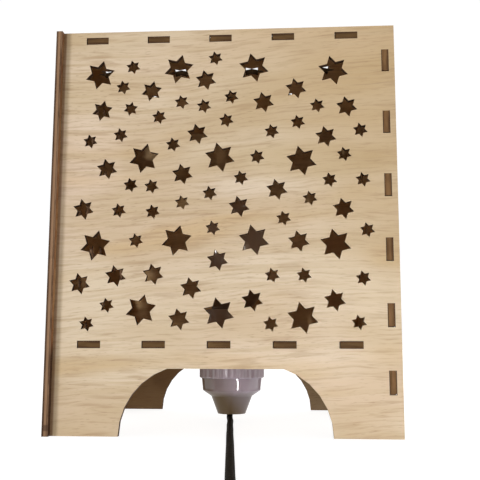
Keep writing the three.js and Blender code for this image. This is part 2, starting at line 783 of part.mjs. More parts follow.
function acrossRod(radius, length, height) {
  return new THREE.CylinderGeometry(radius, radius, length, smallSides)
    .rotateZ(Math.PI / 2)
    .translate(0, 0, height);
}

function alongRod(radius, length, height) {
  return new THREE.CylinderGeometry(radius, radius, length, smallSides).translate(0, 0, height);
}

function switchBase() {
  const cavity = prism(cavityOutline, baseHeight).translate(0, 0, switchFloor);
  const ears = [-earPlace, earPlace].map((x) =>
    box(earThickness, earLength, earTop - switchFloor / 2, x, 0, switchFloor / 2));
  const bosses = screwPlaces.map((place) => upright(screwBoss, place, switchFloor / 2, baseHeight));
  const hollow = shaped(prism(shellOutline, baseHeight), { cut: [cavity] });
  const cut = [
    acrossRod(pinRadius + fitGap, switchWidth - 2 * switchWall, rockerPivot),
    alongRod(neckRadius + fitGap, switchLength + 2 * cutOverrun, entryHeight),
    ...screwPlaces.map((place) => upright(screwRadius + fitGap, place, -cutOverrun, baseHeight + cutOverrun)),
    ...screwPlaces.map((place) => upright(screwHead + fitGap, place, -cutOverrun, screwRecess)),
  ];
  return shaped(hollow, { join: [...ears, ...bosses], cut });
}

function switchCover() {
  const bottom = baseHeight + fitGap;
  const top = bottom + coverHeight;
  const whole = prism(shellOutline, coverHeight).translate(0, 0, bottom);
  const cavity = prism(cavityOutline, coverHeight - switchWall + cutOverrun)
    .translate(0, 0, bottom - cutOverrun);
  const opening = box(windowWidth, windowLength, coverHeight, 0, 0, top - switchWall - cutOverrun);
  const posts = screwPlaces.map((place) => upright(screwBoss, place, bottom, top - switchWall / 2));
  const holes = screwPlaces.map((place) =>
    upright(screwRadius + fitGap, place, bottom - cutOverrun, screwReach + fitGap));
  return shaped(shaped(whole, { cut: [cavity] }), { join: posts, cut: [opening, ...holes] });
}

// The rocker's outline is along Y and up from the pin's middle, then tilted to its rest side
function rockerGeometry() {
  const half = rockerLength / 2;
  const outline = [
    [-half, rockerSkirt],
    [-rockerHub, rockerSkirt],
    [-rockerHub, 0],
    [-rockerHubFoot, -rockerHubDrop],
    [rockerHubFoot, -rockerHubDrop],
    [rockerHub, 0],
    [rockerHub, rockerSkirt],
    [half, rockerSkirt],
    [half, rockerEnd],
    [0, rockerDip],
    [-half, rockerEnd],
  ];
  return prism(outline, rockerWidth, circle(pinRadius + fitGap, smallSides))
    .rotateX(Math.PI / 2)
    .rotateZ(Math.PI / 2)
    .translate(-rockerWidth / 2, 0, 0)
    .rotateX(rockerTilt);
}

add("switch_base", switchBase(), switchBlack, cordSwitch);
add("switch_cover", switchCover(), switchBlack, cordSwitch);
add("switch_rocker", rockerGeometry(), rockerGrey, cordSwitch).position.z = rockerPivot;
const pinLength = 2 * (earPlace + earThickness / 2);
add("rocker_pin", acrossRod(pinRadius, pinLength, rockerPivot), steel, cordSwitch);

function addSwitchTerminal(name, y) {
  add(name, box(contactWidth, contactLength, contactHeight, 0, y, switchFloor + fitGap), brass, cordSwitch);
}
addSwitchTerminal("switch_inlet_terminal", contactAlong);
addSwitchTerminal("switch_outlet_terminal", -contactAlong);
const leafLength = 2 * (contactAlong - contactLength / 2 - fitGap);
add("switch_contact_leaf", box(leafWidth, leafLength, leafThickness, 0, 0, leafHeight), brass, cordSwitch);

screwPlaces.forEach(([x, y], i) => {
  const screw = add(`switch_screw_${i + 1}`, turned([
    [0, screwRecess - screwHeadHeight],
    [screwHead, screwRecess - screwHeadHeight],
    [screwHead, screwRecess - fitGap],
    [screwRadius, screwRecess - fitGap],
    [screwRadius, screwReach],
    [0, screwReach],
  ], smallSides), steel, cordSwitch);
  screw.position.set(x, y, 0);
});

// A strain relief points along +Y from its root; its neck sits in the housing's end wall
function relief(length, neck) {
  return turned([
    [0, -neck],
    [neckRadius, -neck],
    [neckRadius, 0],
    [reliefRoot, 0],
    [reliefTip, length],
    [0, length],
  ], reliefSides).rotateX(-Math.PI / 2);
}

function addRelief(name, length, neck, [x, y, z], turnedRound, parent) {
  const piece = add(name, relief(length, neck), cordBlack, parent);
  piece.position.set(x, y, z);
  if (turnedRound) piece.rotation.z = Math.PI;
}

const reliefPlace = switchLength / 2 + fitGap;
const inletPlace = [0, reliefPlace, entryHeight];
const outletPlace = [0, -reliefPlace, entryHeight];
addRelief("switch_inlet_relief", switchReliefLength, switchWall, inletPlace, false, cordSwitch);
addRelief("switch_outlet_relief", switchReliefLength, switchWall, outletPlace, true, cordSwitch);

// Plug, lying flat with its pins along -Y
const plug = new THREE.Group();
plug.position.set(plugMiddle[0], plugMiddle[1], plugThickness / 2);
lamp.add(plug);

function plugBody() {
  const [half, length] = [plugWidth / 2 - plugBevel, plugLength - 2 * plugBevel];
  const low = -plugLength / 2 + plugBevel;
  const [waistWide, waistAlong] = plugWaistShares;
  const outline = [
    [-half, low],
    [half, low],
    [half, low + plugShoulderShare * length],
    [half * waistWide, low + waistAlong * length],
    [half * plugNeckShare, low + length],
    [-half * plugNeckShare, low + length],
    [-half * waistWide, low + waistAlong * length],
    [-half, low + plugShoulderShare * length],
  ];
  const shape = new THREE.Shape(outline.map(([x, y]) => new THREE.Vector2(x, y)));
  const body = new THREE.ExtrudeGeometry(shape, {
    depth: plugThickness - 2 * plugBevel,
    bevelThickness: plugBevel,
    bevelSize: plugBevel,
    bevelSegments: 1,
  }).translate(0, 0, -plugThickness / 2 + plugBevel);
  const seats = [-1, 1].map((way) =>
    alongRod(plugPinRadius + fitGap, 2 * (plugPinSeat + fitGap), 0)
      .translate((way * plugPinSpacing) / 2, -plugLength / 2, 0));
  return shaped(body, { cut: seats });
}

add("plug_body", plugBody(), switchBlack, plug);
[-1, 1].forEach((way, i) => {
  const pin = add(`plug_pin_${i + 1}`, turned([
    [0, -plugPinSeat],
    [plugPinRadius, -plugPinSeat],
    [plugPinRadius, plugPinLength - plugPinTip],
    [plugPinRadius - plugPinTip, plugPinLength],
    [0, plugPinLength],
  ], smallSides), steel, plug);
  pin.rotation.x = Math.PI / 2;
  pin.position.set((way * plugPinSpacing) / 2, -plugLength / 2, 0);
});
addRelief("plug_relief", plugReliefLength, 0, [0, plugLength / 2 + fitGap, 0], false, plug);

export default lamp;
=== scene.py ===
# A star lantern of laser-cut plywood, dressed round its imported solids. Lengths are in metres,
# and the profiles of the turned and moulded pieces are in millimetres.

import math

import bpy
from mathutils import Matrix, Vector


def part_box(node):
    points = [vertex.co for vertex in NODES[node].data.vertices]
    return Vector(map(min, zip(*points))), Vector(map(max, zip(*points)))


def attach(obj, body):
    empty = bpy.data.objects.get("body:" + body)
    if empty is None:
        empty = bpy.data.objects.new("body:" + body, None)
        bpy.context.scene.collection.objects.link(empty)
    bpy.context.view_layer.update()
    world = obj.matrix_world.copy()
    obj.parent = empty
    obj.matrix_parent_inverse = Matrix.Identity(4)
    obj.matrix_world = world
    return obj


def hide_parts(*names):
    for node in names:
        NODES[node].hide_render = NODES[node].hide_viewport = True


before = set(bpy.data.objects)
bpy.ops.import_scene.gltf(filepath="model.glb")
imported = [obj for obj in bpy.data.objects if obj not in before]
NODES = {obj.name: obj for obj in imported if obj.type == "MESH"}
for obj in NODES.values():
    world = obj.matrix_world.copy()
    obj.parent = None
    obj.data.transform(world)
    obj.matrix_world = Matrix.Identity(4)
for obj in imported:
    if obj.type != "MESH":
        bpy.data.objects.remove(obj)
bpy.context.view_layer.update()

MM = 0.001

# Sizes read off the frame
front_low, front_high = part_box("front_panel")
OUTER = -front_low.x
PLY = front_high.y - front_low.y
INNER = OUTER - PLY


def linked(name, data):
    made = bpy.data.objects.new(name, data)
    bpy.context.scene.collection.objects.link(made)
    return made


# Camera: the photograph's place and angles
CAMERA_PLACE = Vector((0.0409, -0.5343, 0.0498))
CAMERA_YAW = math.radians(-3.79)
CAMERA_PITCH = math.radians(8.14)
CAMERA_ROLL = math.radians(0.14)
CAMERA_LENS = 56.73
CAMERA_SENSOR = 36.0


def make_camera():
    flat = math.cos(CAMERA_PITCH)
    forward = Vector((math.sin(CAMERA_YAW) * flat, math.cos(CAMERA_YAW) * flat, math.sin(CAMERA_PITCH)))
    level_right = Vector((math.cos(CAMERA_YAW), -math.sin(CAMERA_YAW), 0))
    level_up = level_right.cross(forward)
    right = math.cos(CAMERA_ROLL) * level_right + math.sin(CAMERA_ROLL) * level_up
    up = math.cos(CAMERA_ROLL) * level_up - math.sin(CAMERA_ROLL) * level_right
    data = bpy.data.cameras.new("camera")
    data.lens = CAMERA_LENS
    data.sensor_width = CAMERA_SENSOR
    camera = linked("camera", data)
    turn = Matrix((right, up, -forward)).transposed().to_4x4()
    camera.matrix_world = Matrix.Translation(CAMERA_PLACE) @ turn
    bpy.context.scene.camera = camera


make_camera()


# Colours are given as sRGB bytes
def srgb(red, green, blue):
    def linear(byte):
        share = byte / 255
        return share / 12.92 if share <= 0.04045 else ((share + 0.055) / 1.055) ** 2.4

    return (linear(red), linear(green), linear(blue), 1.0)


class Look:
    """A material whose node tree is built from calls that return output sockets."""

    def __init__(self, name, **sockets):
        self.material = bpy.data.materials.new(name)
        self.material.use_nodes = True
        self.tree = self.material.node_tree
        self.shader = self.tree.nodes["Principled BSDF"]
        self.colour = sockets.get("Base Color", (0.5, 0.5, 0.5, 1.0))
        self.material.diffuse_color = self.colour
        for socket, value in sockets.items():
            self.shader.inputs[socket].default_value = value

    def put(self, socket, value):
        if isinstance(value, bpy.types.NodeSocket):
            self.tree.links.new(value, socket)
        else:
            socket.default_value = value

    def add(self, kind, inputs=None, **settings):
        made = self.tree.nodes.new(kind)
        for key, value in settings.items():
            setattr(made, key, value)
        for key, value in (inputs or {}).items():
            self.put(made.inputs[key], value)
        return made

    def place(self):
        return self.add("ShaderNodeTexCoord").outputs["Object"]

    def axes(self):
        split = self.add("ShaderNodeSeparateXYZ", {"Vector": self.place()})
        return {axis: split.outputs[axis] for axis in "XYZ"}

    def math(self, operation, first, second=0.0):
        return self.add("ShaderNodeMath", {0: first, 1: second}, operation=operation).outputs[0]

    def times(self, first, second):
        return self.math("MULTIPLY", first, second)

    def plus(self, first, second):
        return self.math("ADD", first, second)

    def minus(self, first, second):
        return self.math("SUBTRACT", first, second)

    def vector(self, x, y, z):
        return self.add("ShaderNodeCombineXYZ", {"X": x, "Y": y, "Z": z}).outputs[0]

    def noise(self, vector, scale=1.0, detail=2.0, roughness=0.5):
        inputs = {"Vector": vector, "Scale": scale, "Detail": detail, "Roughness": roughness}
        return self.add("ShaderNodeTexNoise", inputs).outputs["Fac"]

    def ramp(self, value, low, high, start=0.0, end=1.0, kind="SMOOTHSTEP"):
        inputs = {"Value": value, "From Min": low, "From Max": high, "To Min": start, "To Max": end}
        return self.add("ShaderNodeMapRange", inputs, interpolation_type=kind).outputs["Result"]

    def mix(self, share, first, second, blend="MIX"):
        made = self.add("ShaderNodeMix", data_type="RGBA", blend_type=blend)
        for index, value in ((0, share), (6, first), (7, second)):
            self.put(made.inputs[index], value)
        return made.outputs[2]

    def lay(self, share, tint, blend="MIX"):
        """Lays a tint over the colour so far."""
        self.colour = self.mix(share, self.colour, tint, blend)

    def surface(self, socket, value):
        self.put(self.shader.inputs[socket], value)

    def bump(self, height, strength, distance, socket="Normal"):
        inputs = {"Height": height, "Strength": strength, "Distance": distance}
        self.surface(socket, self.add("ShaderNodeBump", inputs).outputs["Normal"])


# Plywood veneer: broad warm patches, flowing grain, fine lines and short dark pores
VENEER_PALE = srgb(205, 187, 161)
VENEER_TAN = srgb(186, 163, 130)
VENEER_WARM = srgb(183, 152, 105)
VENEER_PINK = srgb(202, 180, 154)
VENEER_LINE = srgb(149, 118, 84)
VENEER_PORE = srgb(126, 97, 65)
# Painted shade on the part of a side panel's inner face that runs past its neighbour
OVERHANG_SHADE = srgb(112, 78, 50)
OVERHANG_SHADE_EDGE = 0.4 * MM
# Tints of the front's patches, partly the wood's tone and partly painted light (paler) and painted shade
# (browner)
PATCH_PALE_AND_LIT = (1.09, 1.11, 1.2, 1.0)
PATCH_BROWN_AND_SHADED = (0.88, 0.84, 0.74, 1.0)
# The front warms and darkens along a slope towards its upper right corner, partly the wood's tone and partly
# painted shade
LEAN_SLOPE = 1.2
LEAN_RANGE = (0.12, 0.34)
# Painted shadow on the front beside the left joint, where the left panel stands proud of it
JOINT_SHADOW_DARK = (0.46, 0.36, 0.29, 1.0)
JOINT_SHADOW_DARK_RANGE = (1.0 * MM, 2.3 * MM)
JOINT_SHADOW_FAINT = (0.8, 0.78, 0.74, 1.0)
JOINT_SHADOW_FAINT_RANGE = (3.2 * MM, 5.6 * MM)
# Inner faces: painted warm light above the floor plate, painted shade near the top, and painted shade below
# the floor plate, darker on the left than on the right
INNER_WARM_LIGHT = (1.3, 1.08, 0.78, 1.0)
INNER_TOP_SHADE = (0.72, 0.72, 0.72, 1.0)
INNER_TOP_SHADE_RANGE = (0.15, 0.2)
INNER_LOW_SHADE_LEFT = (0.23, 0.158, 0.081, 1.0)
INNER_LOW_SHADE_RIGHT = (0.28, 0.23, 0.17, 1.0)
INNER_LOW_SHADE_RANGE = (0.044, 0.056)
GRAIN_SWAY = 0.019
GRAIN_RIPPLE = 0.003
GRAIN_RISE = 0.05


def veneer(name, across, up, seed, lean=0.0, patches=(), inside=False, shaded_inner=None):
    """lean warms and darkens the front towards its upper right corner, partly the wood's tone and partly
    painted shade, and paints a shadow beside its left joint; patches are its paler and browner ones, partly
    the wood's tone and partly painted light and shade; inside lays painted warm light on a face that the star
    holes show; and shaded_inner is the axis and side on which a panel's inner face runs past its neighbour,
    and paints shade on that part of the face, near the top and below the floor plate."""
    look = Look(name, Roughness=0.6)
    look.surface("Specular IOR Level", 0.3)
    axes = look.axes()
    u, v = axes[across], axes[up]

    def waves(along, over, reach):
        place = look.vector(look.times(u, along), look.times(v, over), seed)
        return look.times(look.minus(look.noise(place, detail=1.0), 0.5), reach)

    lift = waves(6, 8, GRAIN_SWAY)
    small_lift = waves(34, 46, GRAIN_RIPPLE)
    rise = look.times(u, GRAIN_RISE)
    flow = look.minus(look.plus(look.plus(v, lift), small_lift), rise)

    def streaks(along, over, shift, detail=2.0, roughness=0.5):
        place = look.vector(look.times(u, along), look.times(flow, over), seed + shift)
        return look.noise(place, detail=detail, roughness=roughness)

    look.colour = VENEER_TAN
    look.lay(look.ramp(streaks(8, 20, 1), 0.36, 0.64), VENEER_PALE)
    look.lay(look.ramp(streaks(6, 16, 8), 0.5, 0.7, 0, 0.6), VENEER_PINK)
    look.lay(look.ramp(streaks(7, 38, 2), 0.53, 0.72, 0, 0.6), VENEER_WARM)
    if lean:
        # Painted shade, partly the wood's tone: warmer and darker towards the upper right corner
        slope = look.plus(look.times(u, LEAN_SLOPE), v)
        look.lay(look.ramp(slope, *LEAN_RANGE, 0, lean), VENEER_WARM)
    # Patches, partly the wood's tone and partly painted light and shade
    for tint, middle_u, middle_v, reach_u, reach_v, strength in patches:
        off_u = look.math("DIVIDE", look.minus(u, middle_u * OUTER), reach_u * OUTER)
        off_v = look.math("DIVIDE", look.minus(v, middle_v * OUTER), reach_v * OUTER)
        off = look.plus(look.times(off_u, off_u), look.times(off_v, off_v))
        look.lay(look.ramp(off, 0.1, 1.0, strength, 0), tint, "MULTIPLY")
    zone = look.ramp(streaks(7, 11, 4), 0.36, 0.6, 0.3, 1)
    bands = look.ramp(streaks(11, 210, 3, 2.0, 0.55), 0.47, 0.62, 0, 0.6)
    look.lay(look.times(bands, zone), VENEER_TAN)
    lines = look.ramp(streaks(34, 330, 5, 1.0), 0.54, 0.68, 0, 0.34)
    look.lay(look.times(lines, zone), VENEER_LINE)
    threads = look.ramp(streaks(50, 760, 9, 2.0, 0.6), 0.5, 0.72, 0, 0.34)
    look.lay(threads, VENEER_LINE)
    dashes = streaks(190, 1500, 6, 1.0)
    pores = look.times(look.ramp(dashes, 0.62, 0.74, 0, 0.4), zone)
    look.lay(pores, VENEER_PORE)
    if shaded_inner:
        # Painted shade on the part of the inner face that runs past its neighbour, mottled
        axis, side = shaded_inner
        past = look.times(axes[axis], side)
        shade_mottle = look.ramp(look.noise(look.place(), 90, 2.0, 0.6), 0.3, 0.7, 0.75, 1)
        share = look.times(look.ramp(past, OUTER - OVERHANG_SHADE_EDGE, OUTER + OVERHANG_SHADE_EDGE), shade_mottle)
        look.lay(share, OVERHANG_SHADE)
    if lean:
        # Painted shadow on the front beside its left joint: dark close to it, faint further out
        into = look.plus(u, INNER)
        near = look.ramp(into, *JOINT_SHADOW_DARK_RANGE, 1, 0)
        look.lay(near, JOINT_SHADOW_DARK, "MULTIPLY")
        far = look.ramp(into, *JOINT_SHADOW_FAINT_RANGE, 1, 0)
        look.lay(far, JOINT_SHADOW_FAINT, "MULTIPLY")
    plain = look.colour
    if inside:
        # Painted warm light
        look.lay(1.0, INNER_WARM_LIGHT, "MULTIPLY")
    if shaded_inner:
        # Painted shade near the top
        high = look.ramp(axes["Z"], *INNER_TOP_SHADE_RANGE)
        look.lay(high, INNER_TOP_SHADE, "MULTIPLY")
        # Painted shade below the floor plate, darker on the left than on the right
        below = look.ramp(axes["Z"], *INNER_LOW_SHADE_RANGE, 1, 0)
        tint = look.mix(look.ramp(axes["X"], -INNER / 2, INNER / 2), INNER_LOW_SHADE_LEFT, INNER_LOW_SHADE_RIGHT)
        low_shaded = look.mix(1.0, plain, tint, "MULTIPLY")
        look.lay(below, low_shaded)
    look.surface("Base Color", look.colour)
    look.surface("Roughness", look.ramp(dashes, 0.3, 0.7, 0.55, 0.7))
    grain = look.plus(look.times(streaks(50, 600, 7, 3.0, 0.6), 0.6), dashes)
    look.bump(grain, 0.25, 0.1 * MM)
    return look.material


# Laser-cut edges: charred plies with dark glue lines between them, and darker scorch marks along the cut
CHAR_LINE = srgb(58, 38, 25)
# Each sheet's edges get their own light and deep browns, partly the char's own colour and partly painted
# light and shade: the left's proud edge lightest, the front's and back's darkest
CHAR_BROWNS = (srgb(122, 90, 57), srgb(92, 65, 38))
PLATE_BROWNS = (srgb(98, 72, 41), srgb(72, 50, 26))
PROUD_BROWNS = (srgb(138, 107, 80), srgb(84, 58, 37))
BURNT_AND_SHADED_BROWNS = (srgb(84, 60, 42), srgb(52, 36, 25))
# Depths as shares of PLY from the mid-plane: the core's edge, the glue line and its half width, the outer
# ply and the rim
CORE_SHARES = (0.17, 0.23)
GLUE_SHARE = 0.25
GLUE_LINE_SHARES = (0.02, 0.07)
OUTER_PLY_SHARES = (0.26, 0.32)
RIM_SHARES = (0.36, 0.46)


def charred(name, through, middle, browns, seed, plies=0.3):
    """through is the axis across the sheet, middle is the sheet's mid-plane on it, browns are a light and
    a deep one, and plies is how strongly the plies differ."""
    look = Look(name, Roughness=0.8)
    look.surface("Specular IOR Level", 0.2)
    axes = look.axes()
    others = [axis for axis in "XYZ" if axis != through]
    outward = 1 if middle > 0 else -1
    side = look.times(look.minus(axes[through], middle), outward)
    depth = look.math("ABSOLUTE", side)

    def along(scale, across, shift):
        return look.noise(look.vector(
            look.times(axes[others[0]], scale), look.times(axes[others[1]], scale),
            look.plus(look.times(side, across), seed + shift)), detail=3.0, roughness=0.6)

    def ply_ramp(value, shares, start, end):
        low, high = shares
        return look.ramp(value, PLY * low, PLY * high, start, end)

    blotches = along(60, 300, 0)
    light, look.colour = browns
    look.lay(look.ramp(blotches, 0.35, 0.65), light)
    look.lay(ply_ramp(depth, CORE_SHARES, plies, 0), light)
    off_glue = look.math("ABSOLUTE", look.minus(depth, PLY * GLUE_SHARE))
    look.lay(ply_ramp(off_glue, GLUE_LINE_SHARES, plies, 0), CHAR_LINE)
    look.lay(ply_ramp(side, OUTER_PLY_SHARES, 0, plies * 0.75), CHAR_LINE)
    look.lay(look.times(look.ramp(along(45, 0, 7), 0.66, 0.7), 0.65), CHAR_LINE)
    look.lay(ply_ramp(depth, RIM_SHARES, 0, 0.75), CHAR_LINE)
    look.surface("Base Color", look.colour)
    look.bump(blotches, 0.3, 0.2 * MM)
    return look.material


# Pieces
def new_piece(name, data, slot, materials, *replaced, body="lantern"):
    data.name = name
    piece = linked(name, data)
    for material in materials:
        data.materials.append(material)
    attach(piece, body)
    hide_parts(*replaced)
    return piece


# Each sheet is a copy of a solid, with its faces told apart from its cut edges and its tabs grown to fill
# their slots, so that no light shows round them
FACE_LIMIT = 0.9
FIT = 0.3 * MM
FIT_LEFT = 0.01 * MM
NEAR = 0.05 * MM
QUARTER = math.pi / 2
MID = OUTER - PLY / 2


def grow_tab(co, length_axis, thick_axis, length_middles, thick_middle):
    """Moves a vertex of a tab's end face away from the tab's middle, by all but a hair of the fit's gap."""
    step = FIT - FIT_LEFT
    middle = min(length_middles, key=lambda place: abs(place - co[length_axis]))
    co[length_axis] += math.copysign(step, co[length_axis] - middle)
    co[thick_axis] += math.copysign(step, co[thick_axis] - thick_middle)


def middles_of(places):
    """The middles of tabs, from the places of their two ends."""
    ends = sorted(places)
    return [(low + high) / 2 for low, high in zip(ends[::2], ends[1::2])]


def side_tabs(data):
    """A panel in the front's place: its tabs' ends lie at -OUTER, and its left edge FIT inside -INNER."""
    ends = [vertex for vertex in data.vertices if vertex.co.x < -OUTER + NEAR]
    middles = middles_of(vertex.co.z for vertex in ends if vertex.co.y < -MID)
    for vertex in data.vertices:
        if vertex.co.x < -OUTER + NEAR:
            grow_tab(vertex.co, 2, 1, middles, -MID)
        elif vertex.co.x < -INNER + FIT + NEAR:
            vertex.co.x = -INNER + FIT_LEFT


def plate_tabs(data):
    heights = [vertex.co.z for vertex in data.vertices]
    level = (min(heights) + max(heights)) / 2
    for axis, other in ((0, 1), (1, 0)):
        row = [vertex for vertex in data.vertices if vertex.co[axis] > OUTER - NEAR]
        middles = middles_of(vertex.co[other] for vertex in row if vertex.co.z > level)
        for vertex in data.vertices:
            reach = abs(vertex.co[axis])
            if reach > OUTER - NEAR:
                grow_tab(vertex.co, other, 2, middles, level)
            elif INNER - FIT - NEAR < reach < INNER:
                vertex.co[axis] = math.copysign(INNER - FIT_LEFT, vertex.co[axis])


def sheet_copy(name, source, turn, through, looks, replaced):
    """A copy of its own solid is first turned back into the front's place. looks are the materials of
    the outer face, the inner face and the edges."""
    data = NODES[source].data.copy()
    data.transform(Matrix.Rotation(-turn if source == replaced else 0, 4, "Z"))
    if through == "Z":
        plate_tabs(data)
    else:
        side_tabs(data)
    data.transform(Matrix.Rotation(turn, 4, "Z"))
    data.materials.clear()
    new_piece(name, data, "plywood", looks, replaced)
    axis = "XYZ".index(through)
    middle = sum(vertex.co[axis] for vertex in data.vertices) / len(data.vertices)
    outward = 1 if middle > 0 else -1
    for polygon in data.polygons:
        facing = polygon.normal[axis] * outward
        polygon.material_index = 0 if facing > FACE_LIMIT else 1 if facing < -FACE_LIMIT else 2
        polygon.use_smooth = False


def side_sheet(side, across, middle, turn, past_side, seeds, browns, plies=0.3, **front):
    """seeds are those of the outer face, the inner face and the edges."""
    source = "back_panel" if side == "back" else "front_panel"
    through = "Y" if across == "X" else "X"
    sheet_copy(f"{side}_sheet", source, turn, through, (
        veneer(f"{side}_veneer", across, "Z", seeds[0], **front),
        veneer(f"{side}_back_veneer", across, "Z", seeds[1], inside=True, shaded_inner=(across, past_side)),
        charred(f"{side}_edges", through, middle, browns, seeds[2], plies)), f"{side}_panel")


def plate_sheet(plate, low, high, seeds, top_inside):
    sheet_copy(f"{plate}_sheet", f"{plate}_plate", 0, "Z", (
        veneer(f"{plate}_veneer", "X", "Y", seeds[0], inside=top_inside),
        veneer(f"{plate}_back_veneer", "X", "Y", seeds[1], inside=not top_inside),
        charred(f"{plate}_edges", "Z", (low.z + high.z) / 2, PLATE_BROWNS, seeds[2])), f"{plate}_plate")


# Patches of the front, partly the wood's tone and partly painted light and shade: tint, middle and reach as
# shares of OUTER, and strength
PATCH_SHARES = (
    (PATCH_PALE_AND_LIT, -0.4, 1.28, 1.3, 0.42, 1.0),
    (PATCH_PALE_AND_LIT, 0.3, 0.45, 0.65, 0.55, 0.9),
    (PATCH_PALE_AND_LIT, -0.9, 1.62, 0.42, 0.34, 1.2),
    (PATCH_PALE_AND_LIT, 0.9, 0.1, 0.5, 0.5, 0.25),
    (PATCH_BROWN_AND_SHADED, 0.45, 1.59, 0.8, 0.14, 0.9),
    (PATCH_BROWN_AND_SHADED, -0.75, 2.04, 0.45, 0.15, 0.7),
)
side_sheet("front", "X", -MID, 0, 1, (3.0, 9.0, 0.0), BURNT_AND_SHADED_BROWNS, lean=0.5, patches=PATCH_SHARES)
side_sheet("right", "Y", MID, QUARTER, 1, (14.0, 19.0, 2.0), CHAR_BROWNS)
side_sheet("back", "X", MID, math.pi, -1, (24.0, 29.0, 4.0), BURNT_AND_SHADED_BROWNS)
side_sheet("left", "Y", -MID, -QUARTER, -1, (34.0, 39.0, 6.0), PROUD_BROWNS, plies=0.85)
plate_sheet("top", *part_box("top_plate"), (44.0, 49.0, 8.0), top_inside=False)
plate_sheet("floor", *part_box("floor_plate"), (54.0, 59.0, 10.0), top_inside=True)


# Cord: the routes' points are the solids' own
def between(first, second, start, end, t):
    return ((end - t) * first + (t - start) * second) / (end - start)


def curve_points(route):
    """Points in metres on a centripetal curve through a route in millimetres."""
    points = [MM * Vector(point) for point in route]
    points = [2 * points[0] - points[1]] + points + [2 * points[-1] - points[-2]]
    line = []
    for i in range(1, len(points) - 2):
        p0, p1, p2, p3 = points[i - 1:i + 3]
        t0 = 0.0
        t1 = t0 + (p1 - p0).length ** 0.5
        t2 = t1 + (p2 - p1).length ** 0.5
        t3 = t2 + (p3 - p2).length ** 0.5
        for step in range(CORD_STEPS):
            t = t1 + (t2 - t1) * step / CORD_STEPS
            a1 = between(p0, p1, t0, t1, t)
            a2 = between(p1, p2, t1, t2, t)
            a3 = between(p2, p3, t2, t3, t)
            b1 = between(a1, a2, t0, t2, t)
            b2 = between(a2, a3, t1, t3, t)
            line.append(between(b1, b2, t1, t2, t))
    return line + [points[-2]]


CORD_DIAMETER = 4.1 * MM
CORD_STEPS = 6
LEAD_ROUTE = (
    (0, 0, 21.1), (0, 0, 18), (-0.4, 0, 14.6), (-0.8, 0, 11.2), (-1.1, -0.7, 7.8), (-1.1, -2.7, 4.9),
    (-0.9, -5.7, 2.9), (-0.5, -9.2, 2.2), (0.3, -16, 2.1), (1.4, -30, 2.1), (2.6, -48, 2.1), (4.8, -75, 2.1),
    (6.9, -103, 2.1), (10.5, -147, 2.1), (13.3, -183, 2.1), (15.7, -213, 2.1), (18.6, -249, 2.1),
    (20.5, -268, 2.1), (23.2, -287, 2.1), (26.7, -304, 2.5), (29.2, -320, 4.4), (30, -332, 6.1),
    (30, -340, 6.5),
)
LINK_ROUTE = (
    (30, -439.2, 6.5), (30, -443, 6.4), (29.4, -449, 5.4), (26.8, -456.5, 3.6), (21.2, -462, 2.4),
    (14.5, -464, 2.1), (8, -462.2, 2.1), (2.5, -457, 2.1), (-0.4, -449.5, 2.1), (-0.9, -440, 2.2),
    (-0.9, -427, 2.6), (-0.9, -415, 3), (-0.9, -404.4, 3.1),
)
TAIL_ROUTE = (
    (-38.4, -366.9, 7.8), (-44, -366.7, 7.8), (-52, -365.6, 6.8), (-60, -363.6, 4.6), (-68, -361.8, 2.7),
    (-76, -362, 2.3), (-83, -364.8, 3.2), (-87.7, -370, 5), (-89.7, -376.5, 6.6), (-90, -383, 6.9),
)
COIL_MIDDLE = (-34, -400)
COIL_OUTER_RADIUS = 33.1
COIL_INNER_RADIUS = 13.71
COIL_TURNS = 8.25
COIL_PITCH = 4.7
COIL_HEIGHT = 3.1
COIL_STEPS = 48
CLIMB_TURNS = 0.5


def coil_points():
    """The stored coil's line in metres: in on the lower layer, out again on the upper one."""
    steps = round(COIL_TURNS * COIL_STEPS)
    half = COIL_TURNS / 2
    line = []
    for i in range(steps + 1):
        turn = COIL_TURNS * i / steps
        radius = COIL_OUTER_RADIUS - COIL_PITCH * (half - abs(turn - half))
        share = min(max((turn - half) / CLIMB_TURNS + 0.5, 0), 1)
        climb = share * share * (3 - 2 * share)
        angle = 2 * math.pi * turn
        line.append(MM * Vector((
            COIL_MIDDLE[0] + radius * math.cos(angle),
            COIL_MIDDLE[1] + radius * math.sin(angle),
            COIL_HEIGHT + COIL_PITCH * climb,
        )))
    return line


cord_look = Look("cord_sheath", **{"Base Color": srgb(16, 14, 11), "Roughness": 0.6})
cord_look.surface("Specular IOR Level", 0.03)
sheath = cord_look.noise(cord_look.place(), 900, 3.0, 0.6)
cord_look.surface("Roughness", cord_look.ramp(sheath, 0.3, 0.7, 0.55, 0.7))
cord_look.bump(sheath, 0.15, 0.1 * MM)


def cord_piece(name, line, *replaced):
    data = bpy.data.curves.new(name, "CURVE")
    data.dimensions = "3D"
    data.bevel_depth = CORD_DIAMETER / 2
    data.bevel_resolution = 4
    data.use_fill_caps = True
    spline = data.splines.new("POLY")
    spline.points.add(len(line) - 1)
    for target, point in zip(spline.points, line):
        target.co = (*point, 1.0)
    spline.use_smooth = True
    return new_piece(name, data, "cord", [cord_look.material], *replaced)


lead = cord_piece("lead", curve_points(LEAD_ROUTE), "cord_lead")
stored_line = curve_points(LINK_ROUTE) + coil_points() + curve_points(TAIL_ROUTE)
stored = cord_piece("stored_cord", stored_line, "cord_link", "cord_coil", "cord_tail")


# Closed meshes. A profile is a list of (radius, height); a ring is a list of points
SHARP = math.radians(38)
ON_AXIS = 1e-6
MOST_EASED_SHARE = 0.45


def smoothed(data):
    for polygon in data.polygons:
        polygon.use_smooth = True
    data.set_sharp_from_angle(angle=SHARP)
    return data


def closed_mesh(points, faces, place=None):
    data = bpy.data.meshes.new("piece")
    data.from_pydata([MM * Vector(point) for point in points], [], faces)
    if place is not None:
        data.transform(place)
    data.validate()
    return smoothed(data)


